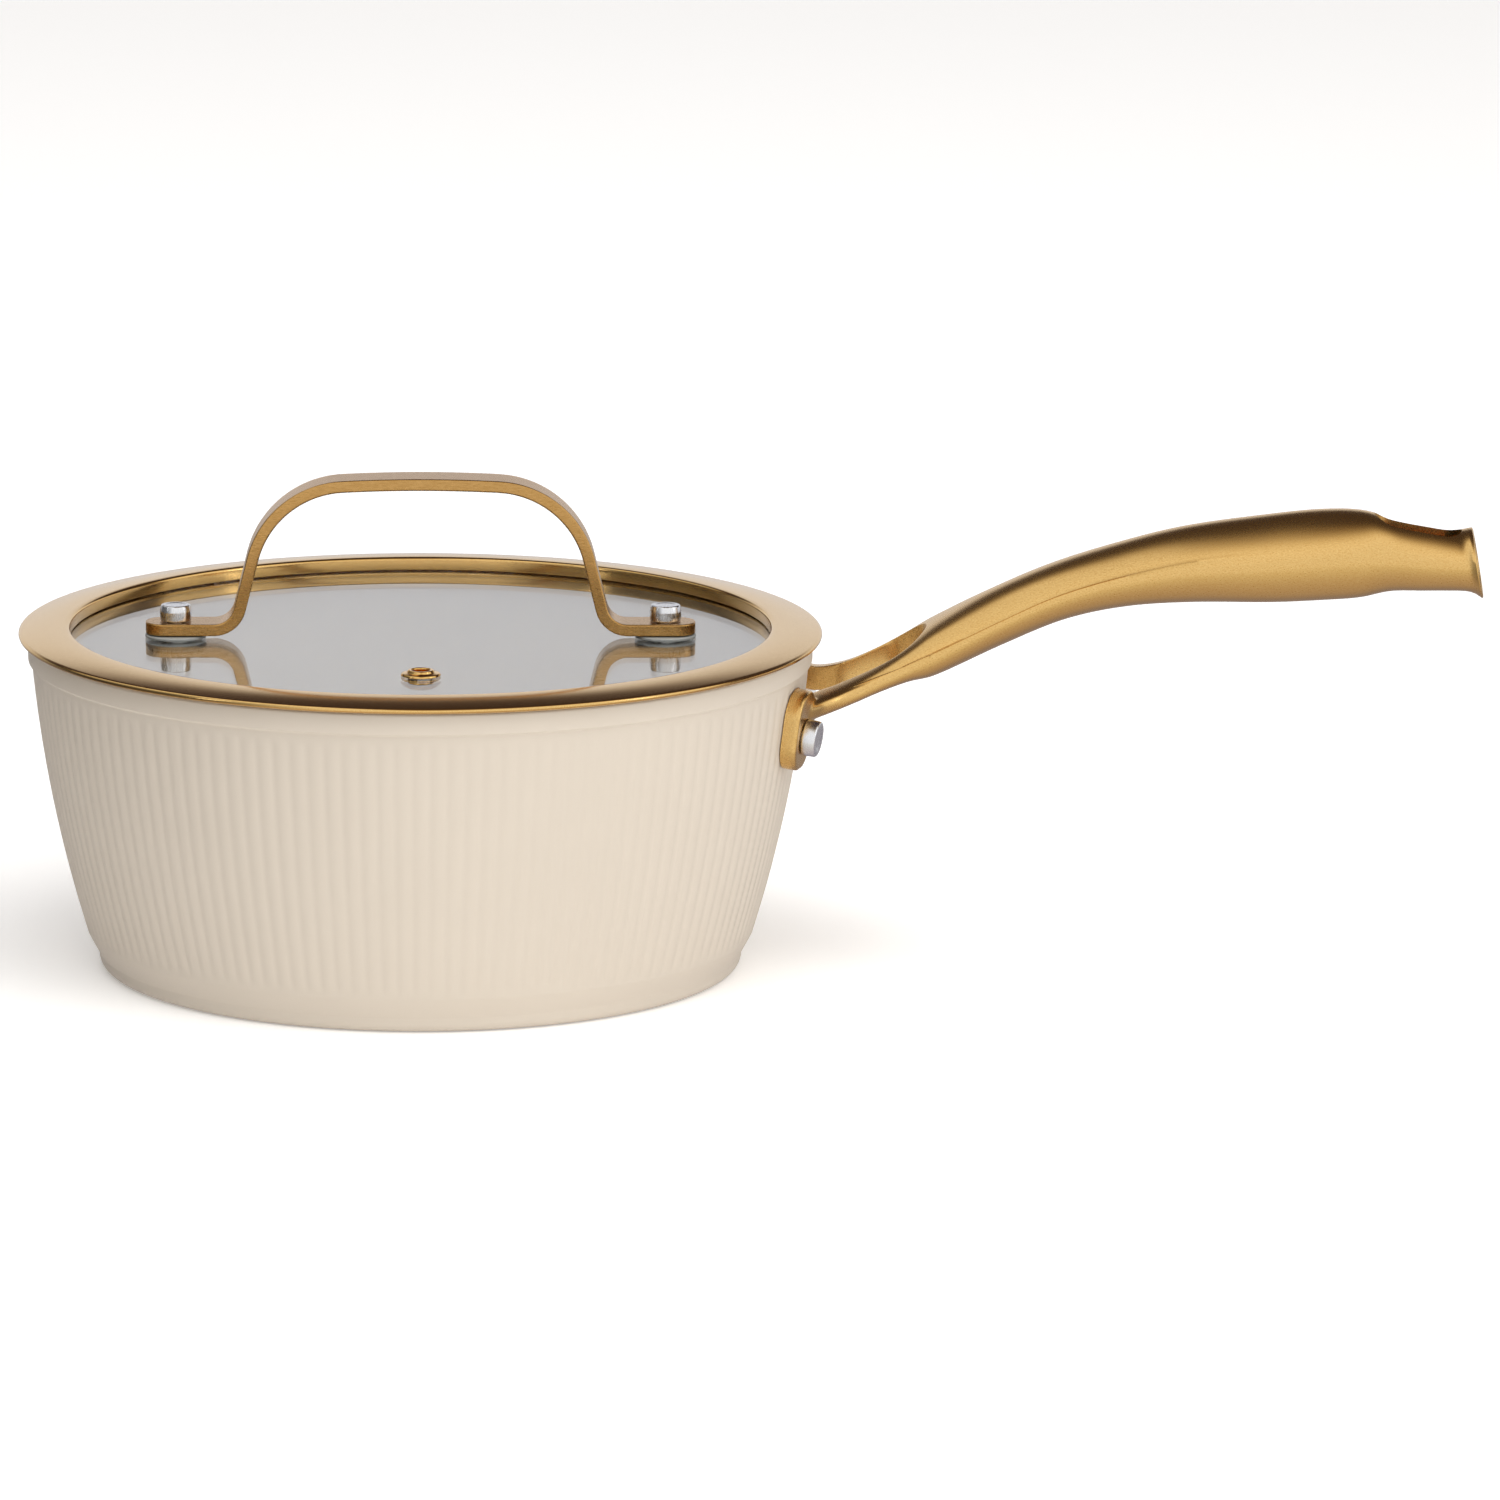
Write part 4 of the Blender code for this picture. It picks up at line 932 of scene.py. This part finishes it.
fixing = {
    "spacing": 127.7,
    "tailRadius": 4.1,
    "tailLength": 4.1,
    "shank": 2.5,
    "headRadius": 4.8,
    "headHeight": 1.5,
    "washerRadius": 8.0,
    "bushWall": 0.9,
}


def makeFixings(side, place):
    f = fixing
    at = Matrix.Translation((side * f["spacing"] / 2, 0, 0))
    pinLow, pinHigh = boxOf("lid_pin_" + place)
    footTop = strapBottom + strap["thickness"] + clearance
    washerLow, washerHigh = boxOf("top_washer_" + place)
    bushLow, bushHigh = boxOf("glass_bush_" + place)
    backLow, backHigh = boxOf("backing_washer_" + place)
    pin = [(0, pinHigh.z - 0.12), (2.1, pinHigh.z - 0.12, 1.0), (2.9, pinHigh.z, 0.6),
           (f["tailRadius"] - 0.25, pinHigh.z, 0.45), (f["tailRadius"], pinHigh.z - 1.7, 1.5),
           (f["tailRadius"], footTop, 0.25), (f["shank"], footTop), (f["shank"], pinLow.z + f["headHeight"]),
           (f["headRadius"], pinLow.z + f["headHeight"], 0.2), (f["headRadius"] - 0.3, pinLow.z + 0.5, 0.7),
           (2.4, pinLow.z, 2.0), (0, pinLow.z)]
    bore = f["shank"] + clearance
    washer = [(f["washerRadius"], washerHigh.z, 0.25), (f["washerRadius"], washerLow.z, 0.25),
              (bore, washerLow.z, 0.1), (bore, washerHigh.z, 0.1)]
    flange = glassLow.z - clearance
    bush = [(bore + f["bushWall"], bushHigh.z, 0.1), (bore + f["bushWall"], flange, 0.2),
            (f["washerRadius"], flange, 0.3), (f["washerRadius"], bushLow.z, 0.4), (bore, bushLow.z, 0.1),
            (bore, bushHigh.z, 0.1)]
    backing = [(0.9 * f["washerRadius"], backHigh.z, 0.2), (0.9 * f["washerRadius"], backLow.z, 0.3),
               (bore, backLow.z, 0.15), (bore, backHigh.z, 0.1)]
    finishPiece(turn(roundLine(pin, steps=5), 72), "strap_pin_" + place, aluminium, "lid", "aluminium",
                ["lid_pin_" + place], at, sharp=45)
    for name, corners, material, slotName, node in (
            ("foot_washer_", washer, silicone, "grey_silicone", "top_washer_"),
            ("pin_bush_", bush, silicone, "grey_silicone", "glass_bush_"),
            ("steel_washer_", backing, steel, "stainless_steel", "backing_washer_")):
        finishPiece(turn(roundLine(corners, closed=True, steps=4), 72, closed=True), name + place, material,
                    "lid", slotName, [node + place], at, sharp=45)


for side, place in ((-1, "left"), (1, "right")):
    makeFixings(side, place)
print("pins and washers fitted")


# Steam vent

vent = {
    "offset": -51.0,
    "bore": 2.35,
    "barrel": 3.15,
    "flange": 5.25,
    "roll": 1.2,
}


def makeVent():
    v = vent
    at = Matrix.Translation((0, v["offset"], 0))
    low, high = boxOf("vent_eyelet")
    seat = glassHigh.z + clearance
    ringLowZ, ringHighZ = boxOf("vent_ring")[0].z, boxOf("vent_ring")[1].z
    rollTop = ringLowZ - clearance
    eyelet = [(v["flange"], seat, 0.12), (v["barrel"], seat, 0.1), (v["barrel"], rollTop, 0.1),
              (v["barrel"] + v["roll"], rollTop, 0.2), (v["barrel"] + v["roll"] - 0.2, low.z, 0.25),
              (v["bore"], low.z, 0.4), (v["bore"], high.z, 0.4), (v["barrel"] + 0.1, high.z, 0.4),
              (v["barrel"] + 0.45, seat + 0.8, 0.3), (v["flange"] - 0.35, seat + 0.62, 0.45)]
    finishPiece(turn(roundLine(eyelet, closed=True, steps=6), 72, closed=True), "gold_vent_eyelet",
                brightGold, "lid", "gold_steel", ["vent_eyelet"], at, sharp=60)
    bore = v["barrel"] + clearance
    collar = [(v["flange"], ringHighZ, 0.15), (v["flange"], ringLowZ, 0.3), (bore, ringLowZ, 0.1),
              (bore, ringHighZ, 0.1)]
    finishPiece(turn(roundLine(collar, closed=True, steps=4), 72, closed=True), "gold_vent_ring", brightGold,
                "lid", "gold_steel", ["vent_ring"], at, sharp=60)


makeVent()
print("steam vent set")


# Floor, light and camera

studio = {
    "floorSize": 12000.0,
    "floorGlow": 0.2,
    # black card on the left: x, y and z of its middle, length, height, all in metres
    "card": (-0.32, -0.1, 0.24, 0.75, 0.4),
    # the studio as polished metal sees it: an angle about the X axis, in degrees, and the light's red,
    # green and blue; 0 is the horizon behind the pan, 90 overhead, 180 and -180 the horizon behind the
    # camera, -90 straight down
    "sky": [
        (-180, 0.96, 0.95, 0.94), (-163, 1.0, 1.0, 1.0), (-150, 0.84, 0.81, 0.74), (-135, 0.76, 0.72, 0.66),
        (-118, 0.66, 0.6, 0.56), (-95, 0.57, 0.5, 0.48), (-70, 0.48, 0.42, 0.42), (-45, 0.3, 0.27, 0.3),
        (-15, 0.35, 0.33, 0.34), (-4, 0.66, 0.66, 0.68), (0, 0.76, 0.78, 0.83), (9, 0.84, 0.85, 0.89),
        (15, 0.84, 0.85, 0.89), (19, 0.74, 0.75, 0.8), (22, 0.42, 0.4, 0.41), (25, 0.11, 0.085, 0.08),
        (30, 0.06, 0.045, 0.045), (86, 0.06, 0.04, 0.035), (102, 0.17, 0.12, 0.08), (116, 0.36, 0.29, 0.21),
        (132, 0.8, 0.73, 0.62), (148, 1.05, 1.03, 1.0), (170, 1.06, 1.05, 1.05), (180, 1.0, 1.0, 1.0),
    ],
    "skyBend": 25.0,           # the dark patch overhead starts at this angle and narrows to the sides
    "bendLeft": 15.0,
    "bendRight": 2.0,
    "skyLeft": 0.12,           # brightness of the sky at the far left
    # lamp name, (x, y, z) in metres, width, height, watts, seen in reflections, lights the coating
    "lamps": [("key_right", (1.6, -2.0, 1.7), 0.9, 1.5, 5.0, False, True),
              ("overhead", (0.1, -0.5, 2.2), 2.2, 2.2, 40.0, False, True),
              ("strip_left", (-2.4, -1.2, 1.2), 0.25, 1.6, 2.5, True, False),
              ("strip_right", (2.3, -1.0, 1.2), 0.3, 1.6, 2.5, True, False)],
    "aim": (0.03, 0.0, 0.05),
    "cameraPlace": (0.0, -2.596, 0.6043),
    "cameraAim": (0.0862, 0.0, 0.0560),
    "cameraRoll": 0.39,
    "lens": 243.17,
}


def makeFloor():
    shape = bmesh.new()
    bmesh.ops.create_grid(shape, x_segments=8, y_segments=8, size=studio["floorSize"] / 2 * mm)
    floor = newItem("floor", shape, floorFinish())
    floor.location.z = -0.0002
    floor.visible_glossy = False     # metal reflects the studio's lower half instead


def makeCard():
    x, y, z, length, height = studio["card"]
    shape = bmesh.new()
    bmesh.ops.create_cube(shape, size=1.0)
    bmesh.ops.scale(shape, vec=(0.001, length, height), verts=shape.verts)
    card = newItem("black_card", shape, cardFinish())
    card.location = (x, y, z)
    card.visible_camera = False
    card.visible_glossy = False      # it shades the coating and stays out of the metal's reflections
    card.visible_shadow = False


def makeSky():
    world = bpy.data.worlds.new("studio")
    bpy.context.scene.world = world
    world.use_nodes = True
    tree = world.node_tree
    background = tree.nodes["Background"]
    where = addNode(tree, "TexCoord")
    parts = addNode(tree, "SeparateXYZ", {}, {0: where.outputs["Generated"]})
    x = parts.outputs["X"]
    turned = addNode(tree, "Math", {"operation": "ARCTAN2"}, {0: parts.outputs["Z"], 1: parts.outputs["Y"]})
    angle = addNode(tree, "Math", {"operation": "DEGREES"}, {0: turned.outputs[0]})
    past = addNode(tree, "Math", {"operation": "SUBTRACT", 1: studio["skyBend"]}, {0: angle.outputs[0]})
    above = addNode(tree, "Math", {"operation": "MAXIMUM", 1: 0.0}, {0: past.outputs[0]})
    onLeft = addNode(tree, "Math", {"operation": "LESS_THAN", 1: 0.0}, {0: x})
    bend = addNode(tree, "MapRange", {"To Min": studio["bendRight"], "To Max": studio["bendLeft"]},
                   {"Value": onLeft.outputs[0]})
    squared = addNode(tree, "Math", {"operation": "MULTIPLY"}, {0: x, 1: x})
    widen = addNode(tree, "Math", {"operation": "MULTIPLY"},
                    {0: squared.outputs[0], 1: bend.outputs["Result"]})
    shifted = addNode(tree, "Math", {"operation": "MULTIPLY_ADD"},
                      {0: above.outputs[0], 1: widen.outputs[0], 2: angle.outputs[0]})
    share = addNode(tree, "MapRange", {"From Min": -180.0, "From Max": 180.0}, {"Value": shifted.outputs[0]})
    ramp = addNode(tree, "ValToRGB", {}, {"Fac": share.outputs["Result"]})
    stops = ramp.color_ramp.elements
    while len(stops) < len(studio["sky"]):
        stops.new(0.5)
    for stop, (degrees, red, green, blue) in zip(stops, studio["sky"]):
        stop.position = (degrees + 180) / 360
        stop.color = (red, green, blue, 1)
    tree.links.new(ramp.outputs["Color"], background.inputs["Color"])
    side = addNode(tree, "MapRange",
                   {"From Min": -0.9, "From Max": -0.42, "To Min": studio["skyLeft"], "To Max": 1.0},
                   {"Value": x})
    tree.links.new(side.outputs["Result"], background.inputs["Strength"])


def makeLamps():
    for name, place, width, height, watts, inGloss, onCoating in studio["lamps"]:
        lamp = bpy.data.lights.new(name, "AREA")
        lamp.shape = "RECTANGLE"
        lamp.size, lamp.size_y = width, height
        lamp.energy = watts
        item = bpy.data.objects.new(name, lamp)
        item.location = place
        item.visible_glossy = inGloss
        item.visible_diffuse = onCoating
        item.rotation_euler = (Vector(studio["aim"]) - Vector(place)).to_track_quat("-Z", "Y").to_euler()
        bpy.context.scene.collection.objects.link(item)


def makeCamera():
    data = bpy.data.cameras.new("camera")
    data.lens = studio["lens"]
    data.sensor_width = 36
    data.clip_end = 100
    camera = bpy.data.objects.new("camera", data)
    toward = Vector(studio["cameraAim"]) - Vector(studio["cameraPlace"])
    facing = toward.to_track_quat("-Z", "Y").to_matrix().to_4x4()
    rolled = facing @ Matrix.Rotation(math.radians(studio["cameraRoll"]), 4, "Z")
    camera.matrix_world = Matrix.Translation(studio["cameraPlace"]) @ rolled
    bpy.context.scene.collection.objects.link(camera)
    bpy.context.scene.camera = camera


makeFloor()
makeCard()
makeSky()
makeLamps()
makeCamera()
bpy.context.scene.view_settings.view_transform = "Standard"
print("studio lit")
